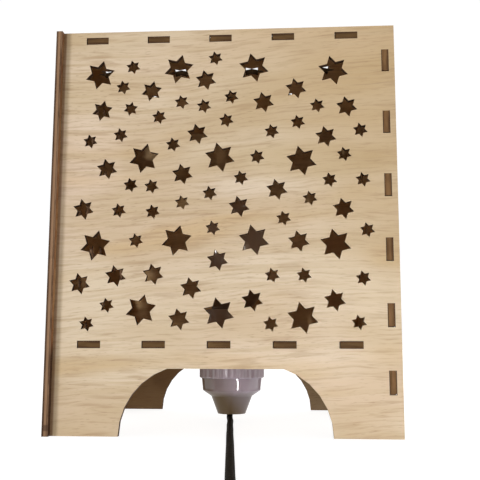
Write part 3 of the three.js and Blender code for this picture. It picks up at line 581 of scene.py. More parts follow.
def eased(points, cut, steps=4, loop=False):
    """Rounds the corners of a line of 2-D points, each starting up to cut away from its corner."""
    line = [Vector(point) for point in points]
    count = len(line)
    made = [] if loop else [line[0]]
    for i in range(count if loop else count - 2):
        middle = i if loop else i + 1
        before, corner, after = line[middle - 1], line[middle], line[(middle + 1) % count]
        reach_in = min(cut, (corner - before).length * MOST_EASED_SHARE)
        reach_out = min(cut, (after - corner).length * MOST_EASED_SHARE)
        start = corner + (before - corner).normalized() * reach_in
        end = corner + (after - corner).normalized() * reach_out
        for step in range(steps + 1):
            t = step / steps
            made.append((1 - t) ** 2 * start + 2 * t * (1 - t) * corner + t * t * end)
    if not loop:
        made.append(line[-1])
    return [tuple(point) for point in made]


def turned(profile, sides=96, swell=None, place=None):
    """A solid of revolution about Z. A profile that starts and ends off the axis closes on itself.

    It runs up the outside and down the inside, or from axis to axis. swell(angle, radius, height) adds
    to a radius.
    """
    points = []
    faces = []
    rows = []
    for radius, height in profile:
        if radius < ON_AXIS:
            rows.append([len(points)] * sides)
            points.append((0, 0, height))
            continue
        rows.append(list(range(len(points), len(points) + sides)))
        for j in range(sides):
            angle = 2 * math.pi * j / sides
            reach = radius + (swell(angle, radius, height) if swell else 0)
            points.append((reach * math.cos(angle), reach * math.sin(angle), height))
    pairs = list(zip(rows, rows[1:]))
    if profile[0][0] > ON_AXIS:
        pairs.append((rows[-1], rows[0]))
    for low, high in pairs:
        for j in range(sides):
            k = (j + 1) % sides
            corners = [low[j], low[k], high[k], high[j]]
            faces.append([corner for i, corner in enumerate(corners) if corner != corners[i - 1]])
    return closed_mesh(points, faces, place)


def lofted(rings, place=None, closed=False):
    """Skins rings of as many points each, and caps both ends unless the last ring joins the first."""
    count = len(rings[0])
    points = [point for ring in rings for point in ring]
    faces = []
    joints = len(rings) if closed else len(rings) - 1
    for i in range(joints):
        low, high = i * count, ((i + 1) % len(rings)) * count
        for j in range(count):
            k = (j + 1) % count
            faces.append([low + j, low + k, high + k, high + j])
    if not closed:
        faces.append(list(range(count))[::-1])
        faces.append([(len(rings) - 1) * count + j for j in range(count)])
    return closed_mesh(points, faces, place)


def rounded_outline(width, length, corner, steps=8):
    corner = max(corner, 0.05)
    x, y = width / 2 - corner, length / 2 - corner
    outline = []
    for quarter, (sx, sy) in enumerate(((1, 1), (-1, 1), (-1, -1), (1, -1))):
        for step in range(steps + 1):
            angle = QUARTER * (quarter + step / steps)
            outline.append((sx * x + corner * math.cos(angle), sy * y + corner * math.sin(angle)))
    return outline


def carved(data, cutters):
    """data with each cutter mesh taken out of it."""
    blank, *tools = [linked("carving", mesh) for mesh in (data, *cutters)]
    for tool in tools:
        modifier = blank.modifiers.new("cut", "BOOLEAN")
        modifier.operation = "DIFFERENCE"
        modifier.solver = "EXACT"
        modifier.object = tool
    graph = bpy.context.evaluated_depsgraph_get()
    made = bpy.data.meshes.new_from_object(blank.evaluated_get(graph), depsgraph=graph)
    for used in (blank, *tools):
        bpy.data.objects.remove(used)
    return smoothed(made)


def moved(x, y, z, turn=Matrix()):
    return Matrix.Translation(MM * Vector((x, y, z))) @ turn


# Plastics and metals
def moulded(name, colour, roughness, grain=0.08, coat=0.0, speckle=0.06):
    """A moulded plastic with a faint orange peel and slight clouding."""
    look = Look(name, Roughness=roughness)
    look.surface("Coat Weight", coat)
    look.surface("Coat Roughness", 0.06)
    cloud = look.noise(look.place(), 60, 3.0, 0.6)
    darker = tuple(channel * (1 - speckle) for channel in colour[:3]) + (1.0,)
    look.surface("Base Color", look.mix(look.ramp(cloud, 0.35, 0.65), darker, colour))
    peel = look.noise(look.place(), 1400)
    look.surface("Roughness", look.ramp(peel, 0.3, 0.7, roughness * 0.85, roughness * 1.15))
    look.bump(peel, grain, 0.05 * MM)
    return look.material


SCRATCHES_ALONG = 180
SCRATCHES_ACROSS = 4200


def metal(name, colour, tarnish, roughness=0.3):
    """A plated or drawn metal with tarnish in patches and fine scratches round it."""
    look = Look(name, Metallic=1.0, Roughness=roughness)
    patches = look.noise(look.place(), 220, 4.0, 0.65)
    look.surface("Base Color", look.mix(look.ramp(patches, 0.45, 0.7, 0, 0.6), colour, tarnish))
    axes = look.axes()
    scales = (SCRATCHES_ALONG, SCRATCHES_ALONG, SCRATCHES_ACROSS)
    place = [look.times(axes[axis], scale) for axis, scale in zip("XYZ", scales)]
    scratches = look.noise(look.vector(*place))
    look.surface("Roughness", look.ramp(scratches, 0.3, 0.7, roughness * 0.7, roughness * 1.4))
    look.bump(scratches, 0.12, 0.03 * MM)
    return look.material


CAP_WAIST = 21
CAP_RIM = 29.34
# Painted shade and light across the holder: dark and yellow on the left, lighter and lilac on the right
HOLDER_LEFT = srgb(86, 64, 44)
HOLDER_MIDDLE = srgb(131, 116, 117)
HOLDER_RIGHT = srgb(162, 148, 159)
# Painted shade below the cap's waist, browner on the left of the nose
HOLDER_NOSE_SHADE_LEFT = srgb(90, 73, 50)
HOLDER_NOSE_SHADE_RIGHT = srgb(119, 108, 108)
HOLDER_LEFT_AT = -16 * MM
HOLDER_MIDDLE_AT = -8 * MM
HOLDER_RIGHT_AT = 12 * MM
NOSE_RANGE = (-6 * MM, 13 * MM)
NOSE_LEVEL = 14 * MM
NOSE_LEAN = 0.7
RIB_SHIFT = 9 * MM
HOLDER_WARM = srgb(180, 150, 122)
CLOUD_REACH = 4 * MM
HOLDER_NOSE_SHADE_RANGE = (17.2 * MM, 22.4 * MM)
HOLDER_WARM_RANGE = (50 * MM, 56 * MM)
GLOSS_RANGE = (21.6 * MM, 22.8 * MM)
GLOSS_ACROSS = (-21 * MM, -13 * MM)
GLOSS = 0.75
GLOSS_LEFT_SHARE = 0.1
BOW_LOW = 22 * MM
BOW_HIGH = 29.3 * MM
BOW_SLOPE = 0.14


def holder_material():
    """Grey glossy plastic with painted shade: it darkens and yellows towards its left side, and darkens and
    browns towards the nose.
    """
    look = Look("holder_plastic", Roughness=0.32)
    look.surface("Coat Roughness", 0.03)
    look.surface("Coat IOR", 1.65)
    look.surface("Specular IOR Level", 0.2)
    axes = look.axes()
    cloud = look.noise(look.place(), 90, 3.0, 0.6)
    height = look.plus(axes["Z"], look.times(look.minus(cloud, 0.5), CLOUD_REACH))
    # Painted shade below the cap's waist, with a cloudy edge
    nose_shade_share = look.ramp(height, *HOLDER_NOSE_SHADE_RANGE, 1, 0)
    rise = look.times(look.minus(axes["Z"], NOSE_LEVEL), NOSE_LEAN)
    nose_share = look.ramp(look.plus(axes["X"], rise), *NOSE_RANGE)
    nose = look.mix(nose_share, HOLDER_NOSE_SHADE_LEFT, HOLDER_NOSE_SHADE_RIGHT)
    warmed = look.ramp(height, *HOLDER_WARM_RANGE)
    on_ribs = look.ramp(axes["Z"], CAP_RIM * MM, (CAP_RIM + 0.5) * MM, 0, RIB_SHIFT)
    lean = look.plus(axes["X"], on_ribs)
    # Painted shade and light across X, shifted on the ribs
    look.colour = HOLDER_LEFT
    look.lay(look.ramp(lean, HOLDER_LEFT_AT, HOLDER_MIDDLE_AT), HOLDER_MIDDLE)
    look.lay(look.ramp(lean, HOLDER_MIDDLE_AT, HOLDER_RIGHT_AT), HOLDER_RIGHT)
    look.lay(nose_shade_share, nose)
    look.lay(warmed, HOLDER_WARM)
    look.surface("Base Color", look.colour)
    peel = look.noise(look.place(), 1200)
    look.surface("Roughness", look.ramp(peel, 0.3, 0.7, 0.28, 0.38))
    look.bump(peel, 0.08, 0.05 * MM)
    glossy = look.ramp(axes["Z"], *GLOSS_RANGE, 0, GLOSS)
    lit = look.ramp(axes["X"], *GLOSS_ACROSS, GLOSS_LEFT_SHARE, 1)
    look.surface("Coat Weight", look.times(glossy, lit))
    # The cap's gloss bows a little upwards
    bow = look.ramp(axes["Z"], BOW_LOW, BOW_HIGH, 0, (BOW_LOW - BOW_HIGH) * BOW_SLOPE, "LINEAR")
    look.bump(bow, 1.0, 1.0, "Coat Normal")
    return look.material


holder_plastic = holder_material()
inner_plastic = moulded("inner_plastic", srgb(226, 221, 210), 0.45)
housing_brown = moulded("housing_brown", srgb(136, 106, 78), 0.4)
ceramic = moulded("ceramic", srgb(232, 228, 218), 0.5, 0.2)
brass = metal("brass", srgb(214, 172, 88), srgb(140, 100, 48))
nickel = metal("nickel", srgb(205, 203, 196), srgb(150, 144, 132), 0.26)
steel = metal("steel", srgb(186, 188, 190), srgb(128, 126, 122), 0.32)
black_glass = moulded("black_glass", srgb(22, 21, 25), 0.14, 0.02, 0.5)
switch_black = moulded("switch_black", srgb(36, 33, 32), 0.4, 0.3)
rocker_grey = moulded("rocker_grey", srgb(62, 59, 57), 0.34, 0.2)
relief_black = moulded("relief_black", srgb(27, 25, 23), 0.5, 0.3)
copper = metal("copper", srgb(196, 118, 78), srgb(120, 68, 44), 0.35)

# Lampholder. Its ribs are scallops with round crests and narrow grooves
RIBS = 24
RIB_TURN = math.radians(-85.6)
RIB_SIDES = 12


def rib_swell(depth, least_radius, low, high, ease):
    """Ribs on what lies outside least_radius, with rounded ends at heights low and high."""
    def swell(angle, radius, height):
        if radius < least_radius:
            return 0
        crest = abs(math.cos(RIBS * (angle - RIB_TURN) / 2))
        inset = min(max((height - low) / ease, 0), max((high - height) / ease, 0), 1)
        return depth * crest * math.sqrt(inset * (2 - inset))
    return swell


mantle_profile = [
    (18.2, 29.5), (20.9, 29.36), (21.1, 29.4), (21.3, 29.55), (21.4, 29.8), (21.4, 30.2), (21.4, 31),
    (21.4, 36), (21.4, 42), (21.4, 48.6), (21.35, 49.3), (21.1, 49.6), (19.9, 49.6), (19.8, 49.8),
    (19.8, 75.6), (19.5, 76.2), (19.1, 76.3), (18.4, 76.3), (18.2, 76.1),
]
mantle_data = turned(mantle_profile, RIBS * RIB_SIDES, rib_swell(1.0, 20.95, 29.38, 49.5, 0.9))
new_piece("holder_mantle_shell", mantle_data, "holder_plastic", [holder_plastic], "holder_mantle")

ring_profile = [
    (20.1, 53.9), (26.3, 53.9), (26.55, 54.05), (26.65, 54.4), (26.7, 55), (26.7, 57.9), (26.7, 60.8),
    (26.65, 61.4), (26.5, 61.75), (26.2, 61.9), (22.6, 61.9), (22.3, 61.7), (22.1, 61.2), (20.6, 61.2),
    (20.1, 60.8),
]
ring_data = turned(ring_profile, RIBS * RIB_SIDES, rib_swell(0.8, 26.6, 54, 61.8, 1.2))
new_piece("holder_ring_nut_shell", ring_data, "holder_plastic", [holder_plastic], "holder_ring_nut")

# Rows near the ends of the cap's side keep its shading straight
cap_side = [(19.95 + 0.9 * share, CAP_WAIST + (CAP_RIM - CAP_WAIST) * share) for share in (0.1, 0.2, 0.9)]
cap_outside = (
    eased([(8.7, 5.1), (9.5, 5.1), (14.1, 17.1), (19.95, CAP_WAIST), (20.85, CAP_RIM)], 0.5, 5)[:-1]
    + cap_side + [(20.82, CAP_RIM - 0.3), (20.85, CAP_RIM - 0.05), (20.8, CAP_RIM), (20.1, CAP_RIM)]
)
cap_inside = eased([(19.3, CAP_RIM), (18, CAP_WAIST + 0.4), (12.6, 18), (7.9, 5.1), (8.3, 5.1)], 0.9, 4)
new_piece("holder_cap_shell", turned(cap_outside + cap_inside, 128), "holder_plastic", [holder_plastic],
          "holder_cap")

# Bulb and screw shell. The bulb's thread is a rolled wave, right-handed, that fades out at both ends
THREAD_PITCH = 3.629
THREAD_DEPTH = 0.8
THREAD_LEAST_RADIUS = 12.9
THREAD_LOW = 53
THREAD_HIGH = 71.5
THREAD_FADE = 2
THREAD_ROWS = 60


def thread_swell(angle, radius, height):
    if radius < THREAD_LEAST_RADIUS or not THREAD_LOW < height < THREAD_HIGH:
        return 0
    ease = min((height - THREAD_LOW) / THREAD_FADE, (THREAD_HIGH - height) / THREAD_FADE, 1)
    return ease * THREAD_DEPTH * 0.5 * (math.cos(2 * math.pi * height / THREAD_PITCH - angle) - 1)


def rows_between(radius, low, high, count=THREAD_ROWS):
    return [(radius, low + (high - low) * i / count) for i in range(count + 1)]


screw_outside = [(10.8, 51.7), (11.6, 52.1), (12.5, 52.7)] + rows_between(13, 53, 73.2) + [(12.8, 73.4)]
screw_inside = [(12.0, 73.4)] + rows_between(11.4, 73, 53.4, 6) + [(10.2, 52.5), (0, 52.3)]
screw_data = turned([(0, 51.7)] + screw_outside + screw_inside, 72, thread_swell)
new_piece("bulb_screw_thread", screw_data, "nickel", [nickel], "bulb_screw_cap", body="bulb")

shell_inside = rows_between(13.5, 69.9, 41.9)
shell_outside = rows_between(14.2, 41.4, 70)
shell_lip = [(9.1, 41.8), (9.0, 41.55), (9.1, 41.3), (13.8, 41.3)]
new_piece("screw_shell_thread", turned(shell_outside + shell_inside + shell_lip, 72), "brass", [brass],
          "screw_shell")

tip_profile = [(0, 46.2), (1.4, 46.22), (2.8, 46.4), (3.8, 46.75), (4.4, 47.2), (4.6, 47.8), (4.6, 48.3),
               (4.5, 48.4), (0, 48.4)]
new_piece("bulb_tip", turned(tip_profile, 48), "nickel", [nickel], "bulb_tip_contact", body="bulb_foot")

insulator_profile = eased([(0, 48.7), (5.5, 48.7), (10.8, 50.7), (10.8, 51.4), (0, 51.4)], 0.8)
new_piece("bulb_insulator_glass", turned(insulator_profile, 72), "insulator", [black_glass], "bulb_insulator",
          body="bulb")

housing_outside = eased([
    (11.6, 73.7), (12.8, 73.7), (14, 76.5), (14.4, 77.4), (14.0, 78.2), (19, 84.5), (24.5, 91), (24.5, 92),
    (23.4, 92),
], 1.6, 5)
housing_inside = eased([(22.4, 92), (22.4, 90.8), (17.8, 83), (12.8, 76.5), (11.6, 74.6)], 1.0, 3)
new_piece("bulb_housing_shell", turned(housing_outside + housing_inside), "housing_brown", [housing_brown],
          "bulb_housing", body="bulb")

GLOBE_MIDDLE = 127
GLOBE_RADIUS = 30
GLOBE_RIM = 24.5
GLOBE_FOOT = 92.3
GLOBE_WALL = 1.2
GLOBE_STEPS = 24


def globe_line(inset):
    radius, rim = GLOBE_RADIUS - inset, GLOBE_RIM - inset
    side = []
    for step in range(GLOBE_STEPS):
        t = step / GLOBE_STEPS
        side.append((
            (1 - t) ** 2 * rim + 2 * t * (1 - t) * radius + t * t * radius,
            (1 - t) ** 2 * GLOBE_FOOT + t * (1 - t) * (GLOBE_FOOT + GLOBE_MIDDLE) + t * t * GLOBE_MIDDLE,
        ))
    turns = [QUARTER * i / GLOBE_STEPS for i in range(GLOBE_STEPS)]
    crown = [(radius * math.cos(turn), GLOBE_MIDDLE + radius * math.sin(turn)) for turn in turns]
    return side + crown + [(0, GLOBE_MIDDLE + radius)]


def smoked_glass():
    """Dark amber glass, a little denser towards its foot."""
    look = Look("smoked_glass", Roughness=0.1)
    haze = look.noise(look.place(), 45)
    tint = look.mix(look.ramp(haze, 0.3, 0.7), srgb(176, 146, 120), srgb(190, 160, 132))
    foot = look.ramp(look.axes()["Z"], GLOBE_FOOT * MM, GLOBE_MIDDLE * MM, 0.5, 0)
    look.surface("Base Color", look.mix(foot, tint, srgb(118, 90, 66)))
    look.surface("Roughness", look.ramp(haze, 0.3, 0.7, 0.07, 0.14))
    return look.material


globe_profile = globe_line(GLOBE_WALL)[::-1] + globe_line(0)
new_piece("bulb_globe_glass", turned(globe_profile), "smoked_glass", [smoked_glass()], "bulb_globe",
          body="bulb")


# Switch: two shells with soft edges, screws sunk in the lower one, and a dished rocker
SWITCH_LENGTH = 58
SWITCH_MIDDLE = (30, -389.6)
SWITCH_CORD_HEIGHT = 6.5
# Outlines: width, length and corner
SHELL = (24, SWITCH_LENGTH, 8)
WINDOW = (10.6, 15, 1.0)
SCREW_PLACES = ((8, 19), (-8, -19))
SCREW_RECESS_RADIUS = 2.5
SCREW_RECESS_DEPTH = 1.5
RELIEF_HOLE_RADIUS = 2.9
CUT_PAST = 2
TO_PLUS_Y = Matrix.Rotation(-QUARTER, 4, "X")
TO_MINUS_Y = Matrix.Rotation(QUARTER, 4, "X")
switch_place = moved(*SWITCH_MIDDLE, 0)


def outline_rings(width, length, corner, *rows):
    """A row says how far its ring stands inside the rounded outline, and at what height."""
    rings = []
    for inset, height in rows:
        outline = rounded_outline(width - 2 * inset, length - 2 * inset, corner - inset)
        rings.append([(x, y, height) for x, y in outline])
    return rings


def rod(radius, length, place, sides=32):
    half = length / 2
    return turned([(0, -half), (radius, -half), (radius, half), (0, half)], sides, place=place)


base_rings = outline_rings(
    *SHELL, (1.4, 0), (0.8, 0.08), (0.4, 0.35), (0.12, 0.8), (0, 1.4), (0, 9.6), (0.1, 10.1), (0.35, 10.4),
    (1.5, 10.4), (1.6, 10.2), (1.6, 2.4), (2.0, 1.9), (2.6, 1.8))
hole_place = moved(0, 0, SWITCH_CORD_HEIGHT, TO_MINUS_Y)
relief_hole = rod(RELIEF_HOLE_RADIUS, SWITCH_LENGTH + 2 * CUT_PAST, hole_place)
recesses = [rod(SCREW_RECESS_RADIUS, 2 * SCREW_RECESS_DEPTH, moved(x, y, 0)) for x, y in SCREW_PLACES]
base_data = carved(lofted(base_rings), [relief_hole, *recesses])
base_data.transform(switch_place)
new_piece("switch_base_shell", base_data, "switch_black", [switch_black], "switch_base")

cover_rings = outline_rings(
    *SHELL, (0.35, 10.7), (0.1, 11.0), (0, 11.5), (0, 13.6), (0.15, 14.6), (0.6, 15.5), (1.3, 16.2),
    (2.2, 16.6), (3.2, 16.75))
cover_rings += outline_rings(
    *WINDOW, (-1.6, 16.85), (-1.2, 17.15), (-0.8, 17.2), (-0.4, 17.15), (-0.1, 16.9), (0, 16.5), (0, 15.2))
cover_rings += outline_rings(*SHELL, (2.4, 15.2), (1.7, 14.4), (1.6, 13.6), (1.6, 10.7))
cover_data = lofted(cover_rings, switch_place, closed=True)
new_piece("switch_cover_shell", cover_data, "switch_black", [switch_black], "switch_cover")

ROCKER_PIVOT = 11.6
ROCKER_TILT = math.radians(8)
ROCKER_HALF_WIDTH = 4.7
ROCKER_REACH = 6.3
ROCKER_TOP = 5.0
ROCKER_DISH = 0.8
ROCKER_STEPS = 16


def rocker_line():
    """Along Y and up from the pin: a flat skirt and hub under a dished top."""
    alongs = [ROCKER_REACH - 2 * ROCKER_REACH * i / ROCKER_STEPS for i in range(ROCKER_STEPS + 1)]
    top = [(y, ROCKER_TOP + ROCKER_DISH * (y / ROCKER_REACH) ** 2) for y in alongs]
    hub = [(-2.6, 1.8), (-2.6, 0), (-1.6, -2), (1.6, -2), (2.6, 0), (2.6, 1.8)]
    return [(-ROCKER_REACH, 1.8), *hub, (ROCKER_REACH, 1.8), *top]


def rocker_mesh():
    line = eased(rocker_line(), 0.3, 2, loop=True)
    middle = Vector((0, 2.4))
    rings = []
    ends = ((ROCKER_HALF_WIDTH, 0.4), (ROCKER_HALF_WIDTH - 0.08, 0.15), (ROCKER_HALF_WIDTH - 0.35, 0))
    for x, inset in [(-x, inset) for x, inset in ends] + [*ends[::-1]]:
        ring = []
        for point in line:
            toward = Vector(point) - middle
            y, z = middle + toward * (1 - inset / max(toward.length, inset))
            ring.append((x, y, z))
        rings.append(ring)
    return lofted(rings, moved(*SWITCH_MIDDLE, ROCKER_PIVOT, Matrix.Rotation(ROCKER_TILT, 4, "X")))


new_piece("switch_rocker_cap", rocker_mesh(), "rocker", [rocker_grey], "switch_rocker", body="rocker")


CROSS_WIDTH = 0.22
CROSS_LENGTH = 1.35
CROSS_DEPTH = 0.85


def cross_arm(wide, long):
    return lofted([[(x * wide, y * long, z) for x, y in ((-1, -1), (1, -1), (1, 1), (-1, 1))]
                   for z in (-0.5, CROSS_DEPTH)])


def cross_screw(x, y):
    """A countersunk screw seen from below, with a cross cut in its head."""
    profile = [(0, 0.3), (1.9, 0.3), (2.2, 0.6), (2.2, 1.2), (1.1, 1.25), (1.1, 12.2), (0.7, 12.6), (0, 12.6)]
    arms = [cross_arm(CROSS_WIDTH, CROSS_LENGTH), cross_arm(CROSS_LENGTH, CROSS_WIDTH)]
    data = carved(turned(eased(profile, 0.15, 2), 40), arms)
    data.transform(switch_place @ moved(x, y, 0))
    return data


for number, (x, y) in enumerate(SCREW_PLACES, 1):
    new_piece(f"switch_screw_head_{number}", cross_screw(x, y), "steel", [steel], f"switch_screw_{number}")


# Strain reliefs: tapered sleeves cut into rings, which let real ones bend
RELIEF_ROOT = 4.3
RELIEF_TIP = 2.6
RELIEF_RINGS_FROM = 3.2
RELIEF_RINGS_END = 1.5
RELIEF_GROOVE = 0.7
RELIEF_FADE = 0.35
RELIEF_STAND = 0.3
# Points along each ring, and how deep they lie, as shares of the ring and the groove
RING_SHARES = ((0, 0), (0.14, 1), (0.36, 1), (0.5, 0), (0.96, 0))


def relief_mesh(length, neck, rings, place):
    profile = [(0, -neck), (2.7, -neck), (2.7, -0.05), (4.0, 0), (RELIEF_ROOT, 0.3)]
    step = (length - RELIEF_RINGS_FROM - RELIEF_RINGS_END) / rings
    for i in range(rings):
        groove = RELIEF_GROOVE * (1 - RELIEF_FADE * i / rings)
        for along, sink in RING_SHARES:
            height = RELIEF_RINGS_FROM + i * step + along * step
            radius = RELIEF_ROOT + (RELIEF_TIP - RELIEF_ROOT) * height / length
            profile.append((radius - sink * groove, height))
    profile += [(RELIEF_TIP + 0.1, length - 0.3), (RELIEF_TIP - 0.25, length), (0, length)]
    return turned(profile, 40, place=place)


SWITCH_RELIEF = SWITCH_LENGTH / 2 + RELIEF_STAND
for name, way, turn in (("inlet", 1, TO_PLUS_Y), ("outlet", -1, TO_MINUS_Y)):
    relief_place = switch_place @ moved(0, way * SWITCH_RELIEF, SWITCH_CORD_HEIGHT, turn)
    new_piece(f"switch_{name}_sleeve", relief_mesh(20, 1.6, 6, relief_place), "cord", [relief_black],
              f"switch_{name}_relief")

# Plug: a flat moulded body with finger ridges, sleeved pins and its own relief
PLUG_MIDDLE = (-90, -426.6, 6.9)
plug_place = moved(*PLUG_MIDDLE)
PLUG_FACE = -18
PLUG_BACK = 18
PIN_OFFSET = 9.3
PIN_SEAT_RADIUS = 2.15
PIN_SEAT_DEPTH = 6.2
PLUG_SECTIONS = (
    # along, half width, half thickness
    (PLUG_FACE, 16.0, 5.6), (-17.7, 16.9, 6.5), (-17, 17.35, 6.85), (-15, 17.5, 6.9), (-10, 17.45, 6.9),
    (-7, 16.9, 6.85), (-3.5, 15.3, 6.7), (0, 13.4, 6.5), (3.5, 11.7, 6.3), (7, 10.1, 6.1), (10.5, 8.6, 5.9),
    (14, 7.2, 5.6), (16.8, 6.2, 5.3), (17.8, 5.6, 4.8), (PLUG_BACK, 5.0, 4.3),
)
RIDGES = 5
RIDGE_FROM = -5
RIDGE_TO = 12
RIDGE_DEPTH = 0.55
RIDGE_STEPS = 40
RIDGE_SPAN = RIDGE_TO - RIDGE_FROM
PLUG_ROUNDING = 5


def plug_section(along):
    for (low, w0, t0), (high, w1, t1) in zip(PLUG_SECTIONS, PLUG_SECTIONS[1:]):
        if low <= along <= high:
            share = (along - low) / (high - low)
            return w0 + (w1 - w0) * share, t0 + (t1 - t0) * share
    return PLUG_SECTIONS[-1][1:]


def plug_ring(along, sides=56):
    width, thickness = plug_section(along)
    if RIDGE_FROM < along < RIDGE_TO:
        wave = math.cos(2 * math.pi * RIDGES * (along - RIDGE_FROM) / RIDGE_SPAN)
        sink = RIDGE_DEPTH * (1 - wave) / 2
        width -= sink
        thickness -= sink
    ring = []
    for j in range(sides):
        angle = 2 * math.pi * j / sides
        c, s = math.cos(angle), math.sin(angle)
        reach = (abs(c) ** PLUG_ROUNDING + abs(s) ** PLUG_ROUNDING) ** (-1 / PLUG_ROUNDING)
        ring.append((width * reach * c, along, thickness * reach * s))
    return ring


plug_alongs = [row[0] for row in PLUG_SECTIONS[:5]]
plug_alongs += [RIDGE_FROM + RIDGE_SPAN * i / RIDGE_STEPS for i in range(RIDGE_STEPS + 1)]
plug_alongs += [row[0] for row in PLUG_SECTIONS if row[0] > RIDGE_TO]
pin_places = [moved(way * PIN_OFFSET, PLUG_FACE, 0, TO_MINUS_Y) for way in (-1, 1)]
pin_seats = [rod(PIN_SEAT_RADIUS, 2 * PIN_SEAT_DEPTH, place) for place in pin_places]
plug_data = carved(lofted([plug_ring(along) for along in plug_alongs][::-1]), pin_seats)
plug_data.transform(plug_place)
new_piece("plug_body_shell", plug_data, "switch_black", [switch_black], "plug_body")

SLEEVE_END = 10


def pin_mesh(place):
    profile = [(0, -6), (1.9, -6), (1.9, 9.6), (1.86, SLEEVE_END - 0.1), (1.8, SLEEVE_END),
               (1.96, SLEEVE_END + 0.1), (2, SLEEVE_END + 0.4), (2, 17.4), (1.85, 18.2), (1.4, 18.75),
               (0.8, 18.97), (0, 19)]
    data = turned(profile, 40)
    for polygon in data.polygons:
        polygon.material_index = 1 if polygon.center.z < SLEEVE_END * MM else 0
    data.transform(place)
    return data


for number, place in enumerate(pin_places, 1):
    new_piece(f"plug_pin_sleeved_{number}", pin_mesh(plug_place @ place), "steel", [steel, switch_black],
              f"plug_pin_{number}")
plug_sleeve = relief_mesh(25, 0, 8, plug_place @ moved(0, PLUG_BACK + RELIEF_STAND, 0, TO_PLUS_Y))
new_piece("plug_sleeve", plug_sleeve, "cord", [relief_black], "plug_relief")

# Tie: a woven strap round the coil's turns
TIE_ANGLE = math.radians(225)
TIE_HALF_WIDTH = 4.5
TIE_SLACK = 0.6
TIE_THICKNESS = 0.7
TIE_SOFT = 0.18
TIE_CORNER = 2.2
TIE_CORNER_STEPS = 6
STRAP_THREADS = 6200


def tie_outline(grow, corner):
    width = COIL_OUTER_RADIUS - COIL_INNER_RADIUS + CORD_DIAMETER / MM + TIE_SLACK
    height = COIL_PITCH + CORD_DIAMETER / MM + TIE_SLACK
    return rounded_outline(width + 2 * grow, height + 2 * grow, corner, TIE_CORNER_STEPS)


def tie_mesh():
    inside = tie_outline(0, TIE_CORNER)
    softened = tie_outline(TIE_THICKNESS - TIE_SOFT, TIE_CORNER + 0.5)
    outside = tie_outline(TIE_THICKNESS, TIE_CORNER + TIE_THICKNESS)
    half = TIE_HALF_WIDTH
    layers = [(inside, -half), (softened, -half), (outside, -half + TIE_SOFT),
              (outside, half - TIE_SOFT), (softened, half), (inside, half)]
    rings = [[(x, across, z) for x, z in outline][::-1] for outline, across in layers]
    middle = moved(*COIL_MIDDLE, COIL_HEIGHT + COIL_PITCH / 2, Matrix.Rotation(TIE_ANGLE, 4, "Z"))
    reach = (COIL_INNER_RADIUS + COIL_OUTER_RADIUS) / 2
    return lofted(rings, middle @ moved(reach, 0, 0), closed=True)


def strap_material():
    look = Look("strap_weave", Roughness=0.85)
    axes = look.axes()
    warp = look.math("SINE", look.times(look.plus(axes["X"], axes["Y"]), STRAP_THREADS))
    weft = look.math("SINE", look.times(look.minus(axes["X"], axes["Y"]), STRAP_THREADS))
    weave = look.times(warp, weft)
    look.surface("Base Color", look.mix(look.ramp(weave, -0.6, 0.6), srgb(26, 24, 22), srgb(52, 48, 45)))
    look.bump(weave, 0.5, 0.2 * MM)
    return look.material


tie = new_piece("tie_strap", tie_mesh(), "tie", [strap_material()], "coil_tie")


# Materials of the solids that stay
def circuit_material():
    look = Look("circuit_board", Roughness=0.45)
    tracks = look.noise(look.place(), 420, 1.0, 0.3)
    raised = look.ramp(tracks, 0.48, 0.52)
    look.surface("Base Color", look.mix(raised, srgb(222, 230, 222), srgb(196, 206, 196)))
    look.bump(raised, 0.3, 0.05 * MM)
    return look.material


KEPT = (
    (inner_plastic, "cord_grip"),
    (ceramic, "contact_insert"),
    (brass, "centre_contact", "live_terminal", "neutral_terminal", "switch_inlet_terminal",
     "switch_outlet_terminal", "switch_contact_leaf"),
    (steel, "live_terminal_screw", "neutral_terminal_screw", "rocker_pin"),
    (copper, "live_wire", "neutral_wire"),
    (circuit_material(), "bulb_driver_board", "bulb_led_board"),
)
for material, *names in KEPT:
    for name in names:
        for material_slot in NODES[name].material_slots:
            material_slot.material = material


# Floor and light: a white backdrop behind, softer light in front, a key on the left and a strip on the right
FLOOR_SIZE = 60.0
FLOOR_COLOUR = (0.2, 0.2, 0.2, 1.0)
FLOOR_GLOW = 0.9
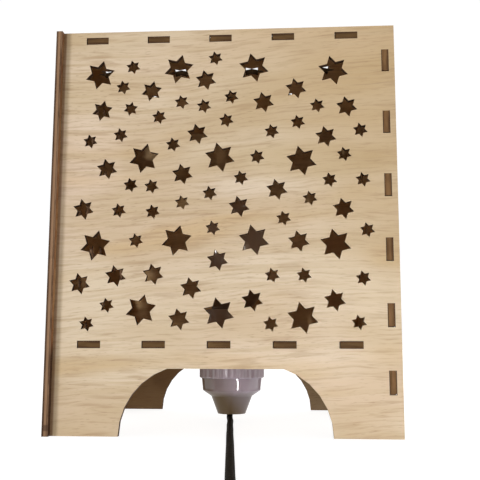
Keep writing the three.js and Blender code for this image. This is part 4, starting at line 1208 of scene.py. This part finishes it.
# The world's light by how far its direction points back
BACK_LIGHT = 1.02
BACK_FROM = 0.3
FRONT_LIGHT = 0.45
FRONT_TO = -0.5
KEY_PLACE = Vector((-0.9, -0.88, 0.1))
KEY_SIZE = (0.23, 0.23)
KEY_POWER = 5.2
FILL_PLACE = Vector((0.42, -0.62, 0.06))
FILL_AIM = Vector((0.08, -OUTER, 0.02))
FILL_SIZE = (0.12, 0.12)
FILL_SPREAD = math.radians(22)
FILL_POWER = 0.018
STRIP_PLACE = Vector((0.66, -1.32, 0.046))
STRIP_AIM = Vector((0, 0, 0.03))
STRIP_SIZE = (0.018, 0.09)
STRIP_POWER = 3.2
AIM = Vector((0, 0, 0.1))


def area_light(name, place, aim, size, power, spread=math.pi):
    data = bpy.data.lights.new(name, "AREA")
    data.spread = spread
    data.shape = "RECTANGLE"
    data.size, data.size_y = size
    data.energy = power
    light = linked(name, data)
    light.location = place
    light.rotation_euler = (aim - place).to_track_quat("-Z", "Y").to_euler()


def make_stage():
    world = bpy.data.worlds.new("studio")
    world.use_nodes = True
    tree = world.node_tree
    background = tree.nodes["Background"]
    background.inputs["Color"].default_value = (1, 1, 1, 1)
    split = tree.nodes.new("ShaderNodeSeparateXYZ")
    tree.links.new(tree.nodes.new("ShaderNodeTexCoord").outputs["Generated"], split.inputs["Vector"])
    ramp = tree.nodes.new("ShaderNodeMapRange")
    ramp.interpolation_type = "SMOOTHSTEP"
    for socket, value in (
            ("From Min", FRONT_TO), ("From Max", BACK_FROM), ("To Min", FRONT_LIGHT), ("To Max", BACK_LIGHT)):
        ramp.inputs[socket].default_value = value
    tree.links.new(split.outputs["Y"], ramp.inputs["Value"])
    tree.links.new(ramp.outputs["Result"], background.inputs["Strength"])
    bpy.context.scene.world = world
    bpy.context.scene.view_settings.view_transform = "Standard"
    look = Look("pale_floor", **{"Base Color": FLOOR_COLOUR, "Roughness": 0.9})
    look.surface("Emission Color", (1, 1, 1, 1))
    look.surface("Emission Strength", FLOOR_GLOW)
    half = FLOOR_SIZE / 2
    data = bpy.data.meshes.new("floor")
    corners = [(-half, -half, 0), (half, -half, 0), (half, half, 0), (-half, half, 0)]
    data.from_pydata(corners, [], [(0, 1, 2, 3)])
    data.materials.append(look.material)
    floor = linked("floor", data)
    area_light("key", KEY_PLACE, AIM, KEY_SIZE, KEY_POWER)
    area_light("fill", FILL_PLACE, FILL_AIM, FILL_SIZE, FILL_POWER, FILL_SPREAD)
    area_light("strip", STRIP_PLACE, STRIP_AIM, STRIP_SIZE, STRIP_POWER)


make_stage()
